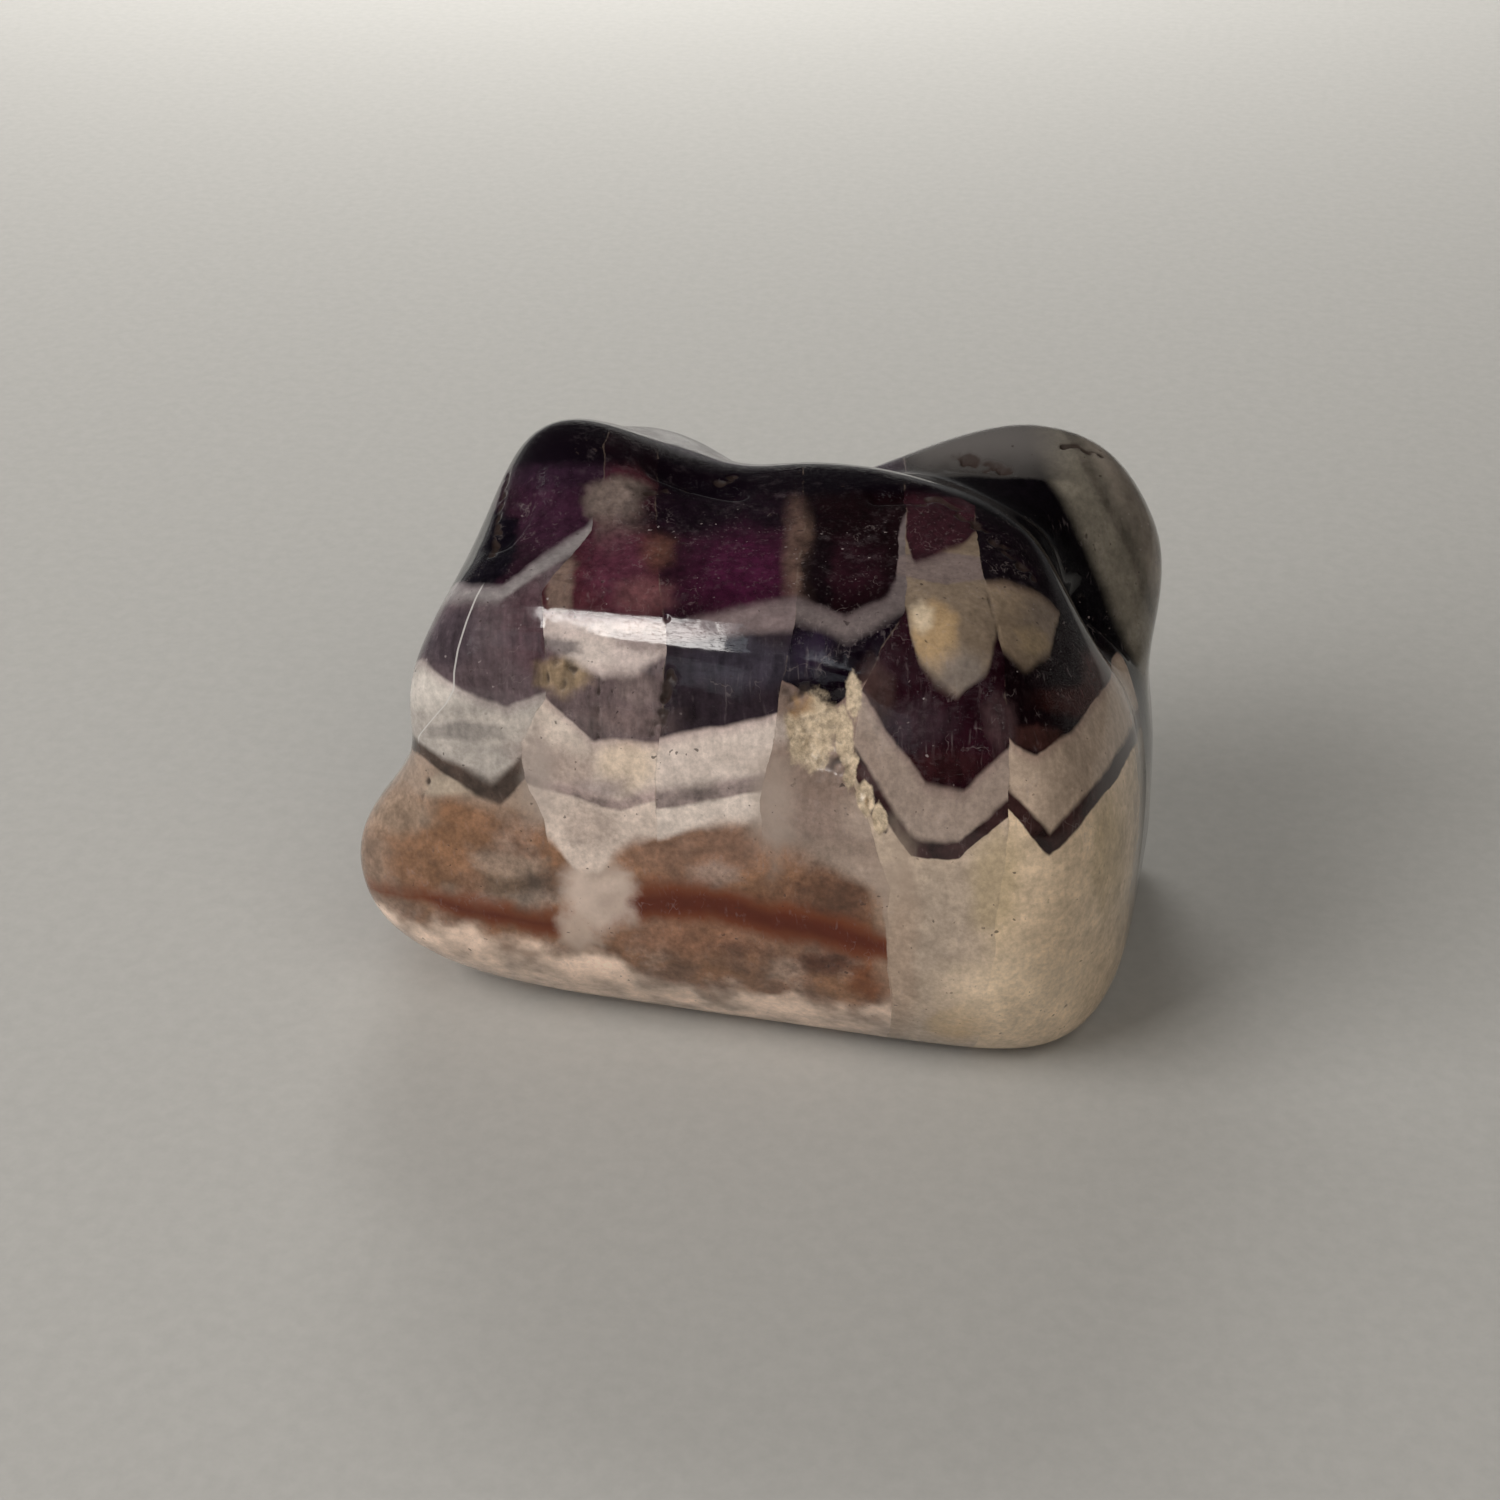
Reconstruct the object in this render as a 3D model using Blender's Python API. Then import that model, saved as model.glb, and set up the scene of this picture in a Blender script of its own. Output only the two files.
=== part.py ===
"""A tumbled and polished piece of chevron amethyst, standing on its flat base.

The stone grew and was worn as one piece, so it is one solid. Its body is the space between a set of
broken faces whose edges tumbling has worn round. Humps, a valley, a waist and small pits are then
pushed in or out along the lines where they lie. Lengths are in millimetres until the mesh is
written, +Z is up, and -Y is the side that shows the clearest chevrons.
"""

import math

import bmesh
import bpy
import numpy as np
from mathutils import Vector, noise

STONE_NAME = "amethyst"
MILLIMETRE = 0.001

# The point inside the stone that the broken faces are measured from, above the base.
HEART = (0.0, 0.0, 13.5)

# Each broken face: compass angle from -Y towards +X, angle above the horizon, distance from the heart.
BROKEN_FACES = {
    "front": (-4, 8, 15.0),
    "front_top": (2, 40, 17.0),
    "front_foot": (-3, -36, 17.2),
    "right": (88, 0, 23.9),
    "right_front": (48, -4, 25.0),
    "right_top": (76, 42, 21.8),
    "right_foot": (60, -36, 28.5),
    "left": (-92, 25, 21.6),
    "left_foot": (-85, -12, 25.3),
    "left_under": (-60, -52, 23.0),
    "left_back": (-140, 12, 21.0),
    "back": (176, 6, 18.0),
    "back_right": (135, 12, 26.5),
    "back_foot": (180, -40, 18.0),
    "top": (0, 88, 15.5),
    "base": (0, -90, 13.7),
}
EDGE_SHARPNESS = 14.0  # a low number is a rounder pebble, a high one a sharper block

# Large forms: the line that each follows, how far it reaches to the sides, and its height or depth.
LARGE_FORMS = {
    "left_hump": ((-11.5, 4, 31), (-11.5, 4, 31), 5.0, 4.4),
    "rear_lobe": ((14, 14.5, 28), (21.5, 12.5, 25), 7.0, 3.0),
    "front_shoulder": ((6, 7, 30), (6, 7, 30), 7.0, 1.1),
    "valley": ((-7, 19, 30), (23, 5, 24), 4.5, -4.5),
    "saddle": ((-3, 12, 30), (-3, 12, 30), 4.0, -1.2),
    "waist": ((-23, -12, 17.5), (-24, 2, 15), 4.5, -2.4),
    "right_hollow": ((24, 3, 18), (24, 9, 17), 4.0, -0.7),
    "back_hollow": ((-10, 17, 12), (2, 18, 17), 7.0, -1.6),
}

# Tumbling leaves faint swells all over: how high they are, and how far apart.
WEAR_SWELLS = ((0.30, 12.0), (0.08, 5.0))
STEADY_BASE = 6.0  # mm above the base over which the swells fade out, so that the base stays flat

# Pits and cracks that the polish didn't reach, given in the same way.
PITS = {
    "hump_ledge": ((-7.6, 3.2, 30.4), (-2.6, 3.2, 29.4), 0.8, -0.7),
    "hump_pit": ((-15.2, -4.4, 28.4), (-14.4, -1.5, 29.4), 0.7, -0.5),
    "ridge_slit": ((6.4, 3.3, 29.9), (8.8, 4.0, 29.8), 0.7, -0.6),
    "lobe_pit": ((10.3, 11.0, 29.2), (13.4, 10.4, 29.3), 0.9, -0.6),
    "shoulder_crack": ((18.8, 5.9, 23.0), (22.6, 6.2, 19.5), 0.9, -0.9),
    "crust_pocket": ((4.4, -12.9, 24.0), (5.4, -13.6, 22.4), 1.5, -0.8),
    "crust_crack": ((6.4, -12.3, 24.6), (8.1, -14.4, 20.2), 0.7, -0.5),
}

SPHERE_LEVEL = 5  # 5,120 triangles, with edges of about 1.7 mm on the stone
FINE_ROUNDS = (2.6, 1.3)  # mm around a pit inside which the edges are halved, once for each number

# The finish: dark purple quartz with a wet-looking polish.
QUARTZ_COLOUR = (0.115, 0.045, 0.085, 1.0)
QUARTZ_ROUGHNESS = 0.14
QUARTZ_IOR = 1.544


def face_normal(azimuth, elevation):
    """The outward direction of a broken face."""
    turn, rise = math.radians(azimuth), math.radians(elevation)
    return np.array((
        math.sin(turn) * math.cos(rise),
        -math.cos(turn) * math.cos(rise),
        math.sin(rise),
    ))


def worn_body(directions):
    """Points on the block between the broken faces, in the given directions from the heart."""
    nearness = np.zeros(len(directions))
    for azimuth, elevation, distance in BROKEN_FACES.values():
        facing = np.clip(directions @ face_normal(azimuth, elevation), 0.0, None)
        nearness += (facing / distance) ** EDGE_SHARPNESS
    radius = nearness ** (-1.0 / EDGE_SHARPNESS)
    return np.array(HEART) + directions * radius[:, None]


def distance_to_line(points, start, end):
    """How far each point is from the straight line between two places."""
    start, end = np.array(start, float), np.array(end, float)
    along = end - start
    length_squared = along @ along
    share = np.zeros(len(points))
    if length_squared > 0.0:
        share = np.clip((points - start) @ along / length_squared, 0.0, 1.0)
    return np.linalg.norm(points - start - share[:, None] * along, axis=1)


def pushed(points, directions, forms):
    """The points moved along their directions by every form that is near them."""
    push = np.zeros(len(points))
    for start, end, reach, height in forms.values():
        push += height * np.exp(-((distance_to_line(points, start, end) / reach) ** 2))
    return points + directions * push[:, None]


def unevenly_worn(points, directions):
    """The points moved by the faint swells that tumbling leaves."""
    swells = np.array([
        sum(height * noise.noise(Vector(point) / spacing) for height, spacing in WEAR_SWELLS)
        for point in points
    ])
    fade = np.clip(points[:, 2] / STEADY_BASE, 0.0, 1.0)
    return points + directions * (swells * fade)[:, None]


def stone_points(directions):
    """The finished surface in millimetres, cut flat at the base."""
    body = worn_body(directions)
    formed = pushed(body, directions, LARGE_FORMS)
    worn = unevenly_worn(formed, directions)
    finished = pushed(worn, directions, PITS)
    finished[:, 2] = np.maximum(finished[:, 2], 0.0)
    return finished


def vertex_directions(bm):
    """The direction of every vertex of a ball from its centre."""
    corners = np.array([vertex.co for vertex in bm.verts])
    return corners / np.linalg.norm(corners, axis=1)[:, None]


def edges_near_pits(bm, within):
    """The edges of the ball that end up closer than this to a pit's line."""
    points = stone_points(vertex_directions(bm))
    nearest = np.full(len(points), np.inf)
    for start, end, _, _ in PITS.values():
        nearest = np.minimum(nearest, distance_to_line(points, start, end))
    bm.verts.ensure_lookup_table()
    bm.verts.index_update()
    return [
        edge
        for edge in bm.edges
        if max(nearest[vertex.index] for vertex in edge.verts) < within
    ]


def ball_with_fine_places():
    """A round ball of triangles, finer where the pits will be."""
    bm = bmesh.new()
    bmesh.ops.create_icosphere(bm, subdivisions=SPHERE_LEVEL, radius=1.0)
    for within in FINE_ROUNDS:
        near = edges_near_pits(bm, within)
        bmesh.ops.subdivide_edges(bm, edges=near, cuts=1, use_grid_fill=True)
        bmesh.ops.triangulate(bm, faces=bm.faces)
    return bm


def stone_mesh():
    """The stone as a mesh in metres, with its origin at the middle of its box, on the base."""
    bm = ball_with_fine_places()
    points = stone_points(vertex_directions(bm))
    lowest, highest = points.min(axis=0), points.max(axis=0)
    origin = np.array((*(lowest + highest)[:2] / 2, lowest[2]))
    for vertex, place in zip(bm.verts, (points - origin) * MILLIMETRE):
        vertex.co = place
    bmesh.ops.recalc_face_normals(bm, faces=bm.faces)
    mesh = bpy.data.meshes.new(STONE_NAME)
    bm.to_mesh(mesh)
    bm.free()
    mesh.shade_smooth()
    return mesh


def polished_quartz():
    """The material: purple quartz under a polish."""
    material = bpy.data.materials.new("polished_amethyst")
    material.use_nodes = True
    shader = material.node_tree.nodes["Principled BSDF"]
    shader.inputs["Base Color"].default_value = QUARTZ_COLOUR
    shader.inputs["Roughness"].default_value = QUARTZ_ROUGHNESS
    shader.inputs["Metallic"].default_value = 0.0
    shader.inputs["IOR"].default_value = QUARTZ_IOR
    return material


def clear_scene():
    for old in list(bpy.data.objects):
        bpy.data.objects.remove(old, do_unlink=True)


def main():
    clear_scene()
    collection = bpy.data.collections.new("polished_amethyst")
    bpy.context.scene.collection.children.link(collection)
    mesh = stone_mesh()
    mesh.materials.append(polished_quartz())
    collection.objects.link(bpy.data.objects.new(STONE_NAME, mesh))


main()
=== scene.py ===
# %% [markdown]
# A polished piece of chevron amethyst
#
# The stone in the photograph is a tumbled piece of chevron amethyst. Purple and white quartz grew over
# each other in pointed layers, side by side in several crystals, and the tumbler then cut through all
# of them and left a wet-looking polish. The packed CAD model already has the form of the stone. This
# lesson repeats that form with finer triangles, adds the small pits and cracks, and then spends most
# of its cells on the stone's inside, which is a solid pattern in three directions.

# %% Load the packed stone
import math

import bmesh
import bpy
import numpy as np
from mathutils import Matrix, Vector, noise


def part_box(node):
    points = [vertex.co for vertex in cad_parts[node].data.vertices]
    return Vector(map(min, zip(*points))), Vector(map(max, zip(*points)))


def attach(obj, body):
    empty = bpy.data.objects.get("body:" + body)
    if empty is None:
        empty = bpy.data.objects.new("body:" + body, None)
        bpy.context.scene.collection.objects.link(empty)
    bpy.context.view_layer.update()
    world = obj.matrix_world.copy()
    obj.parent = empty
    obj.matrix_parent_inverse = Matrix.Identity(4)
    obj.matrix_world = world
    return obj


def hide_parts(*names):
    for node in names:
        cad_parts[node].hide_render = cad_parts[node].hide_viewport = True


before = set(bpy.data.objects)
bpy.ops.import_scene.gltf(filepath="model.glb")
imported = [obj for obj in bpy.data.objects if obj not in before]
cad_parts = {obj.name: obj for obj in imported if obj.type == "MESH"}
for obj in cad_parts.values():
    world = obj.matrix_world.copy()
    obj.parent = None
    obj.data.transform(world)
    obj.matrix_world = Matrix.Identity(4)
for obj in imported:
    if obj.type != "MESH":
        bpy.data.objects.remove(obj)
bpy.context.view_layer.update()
stone_low, stone_high = (np.array(corner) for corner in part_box("amethyst"))
MILLIMETRE = 0.001
print("CAD stone, mm:", ((stone_high - stone_low) / MILLIMETRE).round(2))

# %% [markdown]
# The body of the stone
#
# A broken stone is the space between its broken faces, and tumbling wears the edges round. Each face
# is given by the way it looks and how far it is from the heart of the stone. Adding the faces with a
# high power gives that space with round edges. A lower power would give a rounder pebble, and cutting
# a block with planes and a bevel would give edges that are all equally round, which tumbling doesn't.

# %% Broken faces and a rounded block between them
HEART = (0.0, 0.0, 13.5)
BROKEN_FACES = {
    "front": (-4, 8, 15.0),
    "front_top": (2, 40, 17.0),
    "front_foot": (-3, -36, 17.2),
    "right": (88, 0, 23.9),
    "right_front": (48, -4, 25.0),
    "right_top": (76, 42, 21.8),
    "right_foot": (60, -36, 28.5),
    "left": (-92, 25, 21.6),
    "left_foot": (-85, -12, 25.3),
    "left_under": (-60, -52, 23.0),
    "left_back": (-140, 12, 21.0),
    "back": (176, 6, 18.0),
    "back_right": (135, 12, 26.5),
    "back_foot": (180, -40, 18.0),
    "top": (0, 88, 15.5),
    "base": (0, -90, 13.7),
}
EDGE_SHARPNESS = 14.0


def face_normal(azimuth, elevation):
    """The outward direction of a broken face; azimuth runs from -Y towards +X."""
    turn, rise = math.radians(azimuth), math.radians(elevation)
    return np.array((
        math.sin(turn) * math.cos(rise),
        -math.cos(turn) * math.cos(rise),
        math.sin(rise),
    ))


def worn_body(directions):
    """Points on the block between the broken faces, in the given directions from the heart."""
    nearness = np.zeros(len(directions))
    for azimuth, elevation, distance in BROKEN_FACES.values():
        facing = np.clip(directions @ face_normal(azimuth, elevation), 0.0, None)
        nearness += (facing / distance) ** EDGE_SHARPNESS
    radius = nearness ** (-1.0 / EDGE_SHARPNESS)
    return np.array(HEART) + directions * radius[:, None]


print("broken faces:", len(BROKEN_FACES))

# %% [markdown]
# Humps, valley, waist and pits
#
# The stone has two humps with a slanting valley between them, a narrow waist on the left, and places
# that the polish didn't reach. Each of these follows a short line, so one rule makes them all: points
# near the line move out or in along their own direction, most on the line and less further away.
# Sculpting would do it too, but a rule with a line, a reach and a height can be measured and repeated.

# %% Large forms and the pits of the CAD stone
LARGE_FORMS = {
    "left_hump": ((-11.5, 4, 31), (-11.5, 4, 31), 5.0, 4.4),
    "rear_lobe": ((14, 14.5, 28), (21.5, 12.5, 25), 7.0, 3.0),
    "front_shoulder": ((6, 7, 30), (6, 7, 30), 7.0, 1.1),
    "valley": ((-7, 19, 30), (23, 5, 24), 4.5, -4.5),
    "saddle": ((-3, 12, 30), (-3, 12, 30), 4.0, -1.2),
    "waist": ((-23, -12, 17.5), (-24, 2, 15), 4.5, -2.4),
    "right_hollow": ((24, 3, 18), (24, 9, 17), 4.0, -0.7),
    "back_hollow": ((-10, 17, 12), (2, 18, 17), 7.0, -1.6),
}
PITS = {
    "hump_ledge": ((-7.6, 3.2, 30.4), (-2.6, 3.2, 29.4), 0.8, -0.7),
    "hump_pit": ((-15.2, -4.4, 28.4), (-14.4, -1.5, 29.4), 0.7, -0.5),
    "ridge_slit": ((6.4, 3.3, 29.9), (8.8, 4.0, 29.8), 0.7, -0.6),
    "lobe_pit": ((10.3, 11.0, 29.2), (13.4, 10.4, 29.3), 0.9, -0.6),
    "shoulder_crack": ((18.8, 5.9, 23.0), (22.6, 6.2, 19.5), 0.9, -0.9),
    "crust_pocket": ((4.4, -12.9, 24.0), (5.4, -13.6, 22.4), 1.5, -0.8),
    "crust_crack": ((6.4, -12.3, 24.6), (8.1, -14.4, 20.2), 0.7, -0.5),
}


def distance_to_line(points, start, end):
    """How far each point is from the straight line between two places."""
    start, end = np.array(start, float), np.array(end, float)
    along = end - start
    length_squared = along @ along
    share = np.zeros(len(points))
    if length_squared > 0.0:
        share = np.clip((points - start) @ along / length_squared, 0.0, 1.0)
    return np.linalg.norm(points - start - share[:, None] * along, axis=1)


def pushed(points, directions, forms):
    """The points moved along their directions by every form that is near them."""
    push = np.zeros(len(points))
    for start, end, reach, height in forms.values():
        push += height * np.exp(-((distance_to_line(points, start, end) / reach) ** 2))
    return points + directions * push[:, None]


print("large forms:", len(LARGE_FORMS), " pits:", len(PITS))

# %% [markdown]
# Faint swells
#
# A tumbled face is never quite flat. Its faint swells bend every reflection a little, and that is how
# the eye tells a worn stone from a ground one. Two layers of smooth noise, one of them finer, give
# them. They fade out near the base, so that the stone stands on a flat place.

# %% Swells left by tumbling
WEAR_SWELLS = ((0.30, 12.0), (0.08, 5.0))
STEADY_BASE = 6.0


def unevenly_worn(points, directions):
    """The points moved by the faint swells that tumbling leaves."""
    swells = np.array([
        sum(height * noise.noise(Vector(point) / spacing) for height, spacing in WEAR_SWELLS)
        for point in points
    ])
    fade = np.clip(points[:, 2] / STEADY_BASE, 0.0, 1.0)
    return points + directions * (swells * fade)[:, None]


print("swells, mm high and mm apart:", WEAR_SWELLS)

# %% [markdown]
# Fine cracks and chips
#
# Between the grown-together crystals the stone keeps open cracks a tenth of a millimetre deep, with
# crumbs broken out of their rims. They are too fine for the CAD stone, but they catch the light, so
# they are pressed into the finer mesh here. Each one is a chain of places, a reach and a depth, and
# noise along the chain makes it deeper here and shallower there, as a real crack is.

# %% Where the fine cracks run, in millimetres
FINE_CRACKS = {
    "hump_crack": (((-16.4, 2.1, 29.7), (-16.1, -1.0, 28.7), (-15.4, -5.6, 28.3)), 0.25, 0.22),
    "ledge_crack": (
        ((-7.8, 0.4, 30.0), (-6.5, 1.4, 29.9), (-5.1, 2.5, 29.7), (-2.9, 4.9, 29.5)), 0.28, 0.30),
    "dotted_crack": (((-8.3, -9.3, 27.9), (-7.6, -12.3, 24.5), (-7.5, -13.3, 21.3)), 0.13, 0.17),
    "left_joint": (((-11.1, -9.5, 27.8), (-10.9, -11.2, 26.2), (-10.5, -12.5, 23.7)), 0.13, 0.14),
    "centre_joint": (((-5.4, -3.6, 29.0), (-4.0, -9.9, 27.5), (-3.8, -12.7, 23.8)), 0.12, 0.11),
    "pit_cluster": (((-3.5, -12.0, 25.1), (-3.7, -12.9, 23.4), (-4.0, -13.3, 22.0)), 0.42, 0.20),
    "crust_face": (((4.0, -12.4, 24.5), (5.1, -13.4, 22.6), (6.5, -14.0, 21.2)), 1.10, 0.16),
    "crust_crack": (
        ((6.2, -12.3, 24.6), (6.8, -13.4, 22.8), (7.2, -14.1, 21.2), (9.4, -15.0, 18.1)), 0.24, 0.30),
    "right_joint": (
        ((13.5, -4.1, 28.3), (14.8, -8.0, 26.9), (15.9, -12.7, 23.0), (16.1, -15.9, 14.3)), 0.12, 0.08),
    "shoulder_crack": (((19.0, 5.8, 22.8), (20.4, 5.8, 21.4), (22.0, 5.9, 20.0)), 0.30, 0.30),
    "rear_pits": (((10.3, 11.7, 29.0), (11.9, 10.7, 29.1), (13.4, 10.3, 29.0)), 0.42, 0.55),
    "far_pits": (((16.9, 12.8, 29.6), (17.7, 13.1, 29.5), (19.3, 13.1, 28.7)), 0.28, 0.36),
    "black_slot": (((7.2, 3.0, 29.8), (8.1, 3.2, 29.7), (9.0, 3.1, 29.7)), 0.22, 0.45),
    "ridge_rim": (
        ((9.0, 4.5, 29.7), (10.6, 3.3, 29.4), (12.3, 1.8, 29.1), (15.9, -1.3, 27.7)), 0.45, 0.22),
    "peppered_spot": (((-10.8, -11.9, 25.2), (-9.0, -12.0, 25.0), (-9.7, -12.5, 23.9)), 0.30, 0.09),
    "left_foot_crack": (((-18.3, -12.4, 18.0), (-18.1, -12.7, 16.9), (-18.6, -12.9, 15.5)), 0.22, 0.12),
}
CRUMB_SPACING = 0.55
print("fine cracks:", len(FINE_CRACKS))

# %% Press the fine cracks into the points
def crack_depths(points):
    """How deep each point lies in a fine crack, in millimetres, and 0 where there is none."""
    depth = np.zeros(len(points))
    for chain, reach, deepest in FINE_CRACKS.values():
        nearest = np.full(len(points), np.inf)
        for start, end in zip(chain, chain[1:]):
            nearest = np.minimum(nearest, distance_to_line(points, start, end))
        close = np.nonzero(nearest < 3.0 * reach)[0]
        for index in close:
            crumble = 0.55 + 1.3 * noise.noise(Vector(points[index]) / CRUMB_SPACING)
            profile = math.exp(-((nearest[index] / reach) ** 2))
            depth[index] += max(0.0, crumble) * deepest * profile
    return depth


def stone_points(directions):
    """The CAD stone's surface in millimetres, cut flat at the base."""
    body = worn_body(directions)
    formed = pushed(body, directions, LARGE_FORMS)
    worn = unevenly_worn(formed, directions)
    finished = pushed(worn, directions, PITS)
    finished[:, 2] = np.maximum(finished[:, 2], 0.0)
    return finished


print("crumbs every", CRUMB_SPACING, "mm along a crack")

# %% [markdown]
# A ball of triangles, finer where the cracks are
#
# Every point of the stone lies in one direction from its heart, so a ball of even triangles is a good
# start: each corner of the ball only moves in or out. Near the cracks the triangles are split again,
# twice, because a crack narrower than a triangle would vanish.

# %% Make the ball and split it near the cracks
BALL_LEVEL = 7
SPLIT_ROUNDS = (1.0, 0.5)


def ball_directions(bm):
    """The direction of every corner of the ball from its centre."""
    corners = np.array([vertex.co for vertex in bm.verts])
    return corners / np.linalg.norm(corners, axis=1)[:, None]


def near_cracks(points):
    """How far each point is from the nearest fine crack, in multiples of the crack's reach."""
    nearest = np.full(len(points), np.inf)
    for chain, reach, _ in FINE_CRACKS.values():
        for start, end in zip(chain, chain[1:]):
            away = distance_to_line(points, start, end) - 1.5 * reach
            nearest = np.minimum(nearest, away)
    return nearest


def cracked_ball():
    """An even ball of triangles whose edges are halved near the cracks."""
    bm = bmesh.new()
    bmesh.ops.create_icosphere(bm, subdivisions=BALL_LEVEL, radius=1.0)
    for within in SPLIT_ROUNDS:
        away = near_cracks(stone_points(ball_directions(bm)))
        bm.verts.index_update()
        close = [edge for edge in bm.edges if max(away[v.index] for v in edge.verts) < within]
        bmesh.ops.subdivide_edges(bm, edges=close, cuts=1, use_grid_fill=True)
        bmesh.ops.triangulate(bm, faces=bm.faces)
    return bm


ball = cracked_ball()
print("triangles in the ball:", len(ball.faces))

# %% [markdown]
# From the ball to the stone
#
# The part's source measures from the heart of the stone, and the packed model has its origin in the
# middle of its base. The shift between the two is measured from the boxes here instead of being typed
# in, so the finer stone stands exactly where the CAD stone does.

# %% Shape the ball and stand it where the CAD stone is
directions = ball_directions(ball)
smooth_places = stone_points(directions)
depths = crack_depths(smooth_places)
places = smooth_places - directions * depths[:, None]
places[:, 2] = np.maximum(places[:, 2], 0.0)
middle = (smooth_places.min(axis=0) + smooth_places.max(axis=0)) / 2
cad_middle = (stone_low + stone_high) / 2 / MILLIMETRE
SHIFT = np.array((middle[0] - cad_middle[0], middle[1] - cad_middle[1], 0.0))
for vertex, place in zip(ball.verts, (places - SHIFT) * MILLIMETRE):
    vertex.co = place
bmesh.ops.recalc_face_normals(ball, faces=ball.faces)

stone_mesh = bpy.data.meshes.new("polished_stone")
ball.to_mesh(stone_mesh)
ball.free()
stone_mesh.shade_smooth()
crack_layer = stone_mesh.attributes.new("crack_depth", "FLOAT", "POINT")
crack_layer.data.foreach_set("value", depths.astype(np.float32))
stone = bpy.data.objects.new("polished_stone", stone_mesh)
bpy.context.scene.collection.objects.link(stone)
print("shift to the CAD frame, mm:", SHIFT.round(3), " triangles:", len(stone_mesh.polygons))

# %% [markdown]
# The camera
#
# The camera comes before the finish, so that every later cell can be looked at from the photograph's
# side. The photograph looks down on the stone by about a third of a right angle, from a little to the
# right. A small stone photographed by hand is close to the lens, which shows in the way its near
# parts look larger than its far ones.

# %% Camera at the photograph's angle
CAMERA_AZIMUTH = 10
CAMERA_ELEVATION = 32
CAMERA_DISTANCE = 155.0
CAMERA_AIM = (-1.0, 0.0, 13.0)
FIELD_OF_VIEW = 34

towards_camera = face_normal(CAMERA_AZIMUTH, CAMERA_ELEVATION)
aim = Vector((np.array(CAMERA_AIM) - SHIFT) * MILLIMETRE)
camera_data = bpy.data.cameras.new("camera")
camera_data.sensor_fit = "HORIZONTAL"
camera_data.angle = math.radians(FIELD_OF_VIEW)
camera_data.clip_start = 0.01
camera = bpy.data.objects.new("camera", camera_data)
camera.location = aim + Vector(towards_camera) * CAMERA_DISTANCE * MILLIMETRE
camera.rotation_euler = Vector(-towards_camera).to_track_quat("-Z", "Y").to_euler()
bpy.context.scene.collection.objects.link(camera)
bpy.context.scene.camera = camera
print("camera at, mm:", (np.array(camera.location) / MILLIMETRE).round(1))

# %% [markdown]
# A short way to write materials
#
# The inside of the stone needs about a thousand shader nodes. Written one by one they can't be read,
# so a small helper adds each kind of node with one call and returns its output. A finish then reads
# like a sum: this height is above that edge, so this colour lies over that one.

# %% The Recipe helper
class Recipe:
    """Adds nodes to a material or a world with short calls that return output sockets."""

    def __init__(self, owner):
        owner.use_nodes = True
        self.tree = owner.node_tree
        self.shader = self.tree.nodes.get("Principled BSDF") or self.tree.nodes["Background"]

    def node(self, kind, **settings):
        made = self.tree.nodes.new(kind)
        for name, value in settings.items():
            setattr(made, name, value)
        return made

    def feed(self, socket, value):
        """Links an output to the socket, or sets a plain number, vector or colour on it."""
        if isinstance(value, bpy.types.NodeSocket):
            self.tree.links.new(value, socket)
        elif hasattr(socket.default_value, "__len__"):
            parts = len(socket.default_value)
            socket.default_value = (*value, 1.0)[:parts]
        else:
            socket.default_value = value

    def maths(self, operation, *values):
        """One operation on numbers, named as Blender names it, such as ADD or MAXIMUM."""
        made = self.node("ShaderNodeMath", operation=operation)
        for socket, value in zip(made.inputs, values):
            self.feed(socket, value)
        return made.outputs[0]

    def product(self, *values):
        """All the values multiplied together."""
        total = values[0]
        for value in values[1:]:
            total = self.maths("MULTIPLY", total, value)
        return total

    def away_from(self, value, middle):
        """How far a number is from a middle one, above or below it."""
        return self.maths("ABSOLUTE", self.maths("SUBTRACT", value, middle))

    def vector(self, operation, *values):
        made = self.node("ShaderNodeVectorMath", operation=operation)
        for socket, value in zip(made.inputs, values):
            self.feed(socket, value)
        if operation in ("DOT_PRODUCT", "LENGTH", "DISTANCE"):
            return made.outputs["Value"]
        return made.outputs["Vector"]

    def vector_of(self, *parts):
        made = self.node("ShaderNodeCombineXYZ")
        for socket, value in zip(made.inputs, parts):
            self.feed(socket, value)
        return made.outputs[0]

    def between(self, first, second, share):
        """A number from first at share 0 to second at share 1."""
        made = self.node("ShaderNodeMix", data_type="FLOAT")
        self.feed(made.inputs[0], share)
        self.feed(made.inputs[2], first)
        self.feed(made.inputs[3], second)
        return made.outputs[0]


print("recipe calls:", [name for name in vars(Recipe) if not name.startswith("_")])

# %% Calls for finishes: spans, layers, noise, curves and picking by number
LOWEST, HIGHEST = -16.0, 44.0


def thousandths(colour):
    """A colour that is written in thousandths, as the shader takes it."""
    return tuple(part / 1000 for part in colour)


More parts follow.
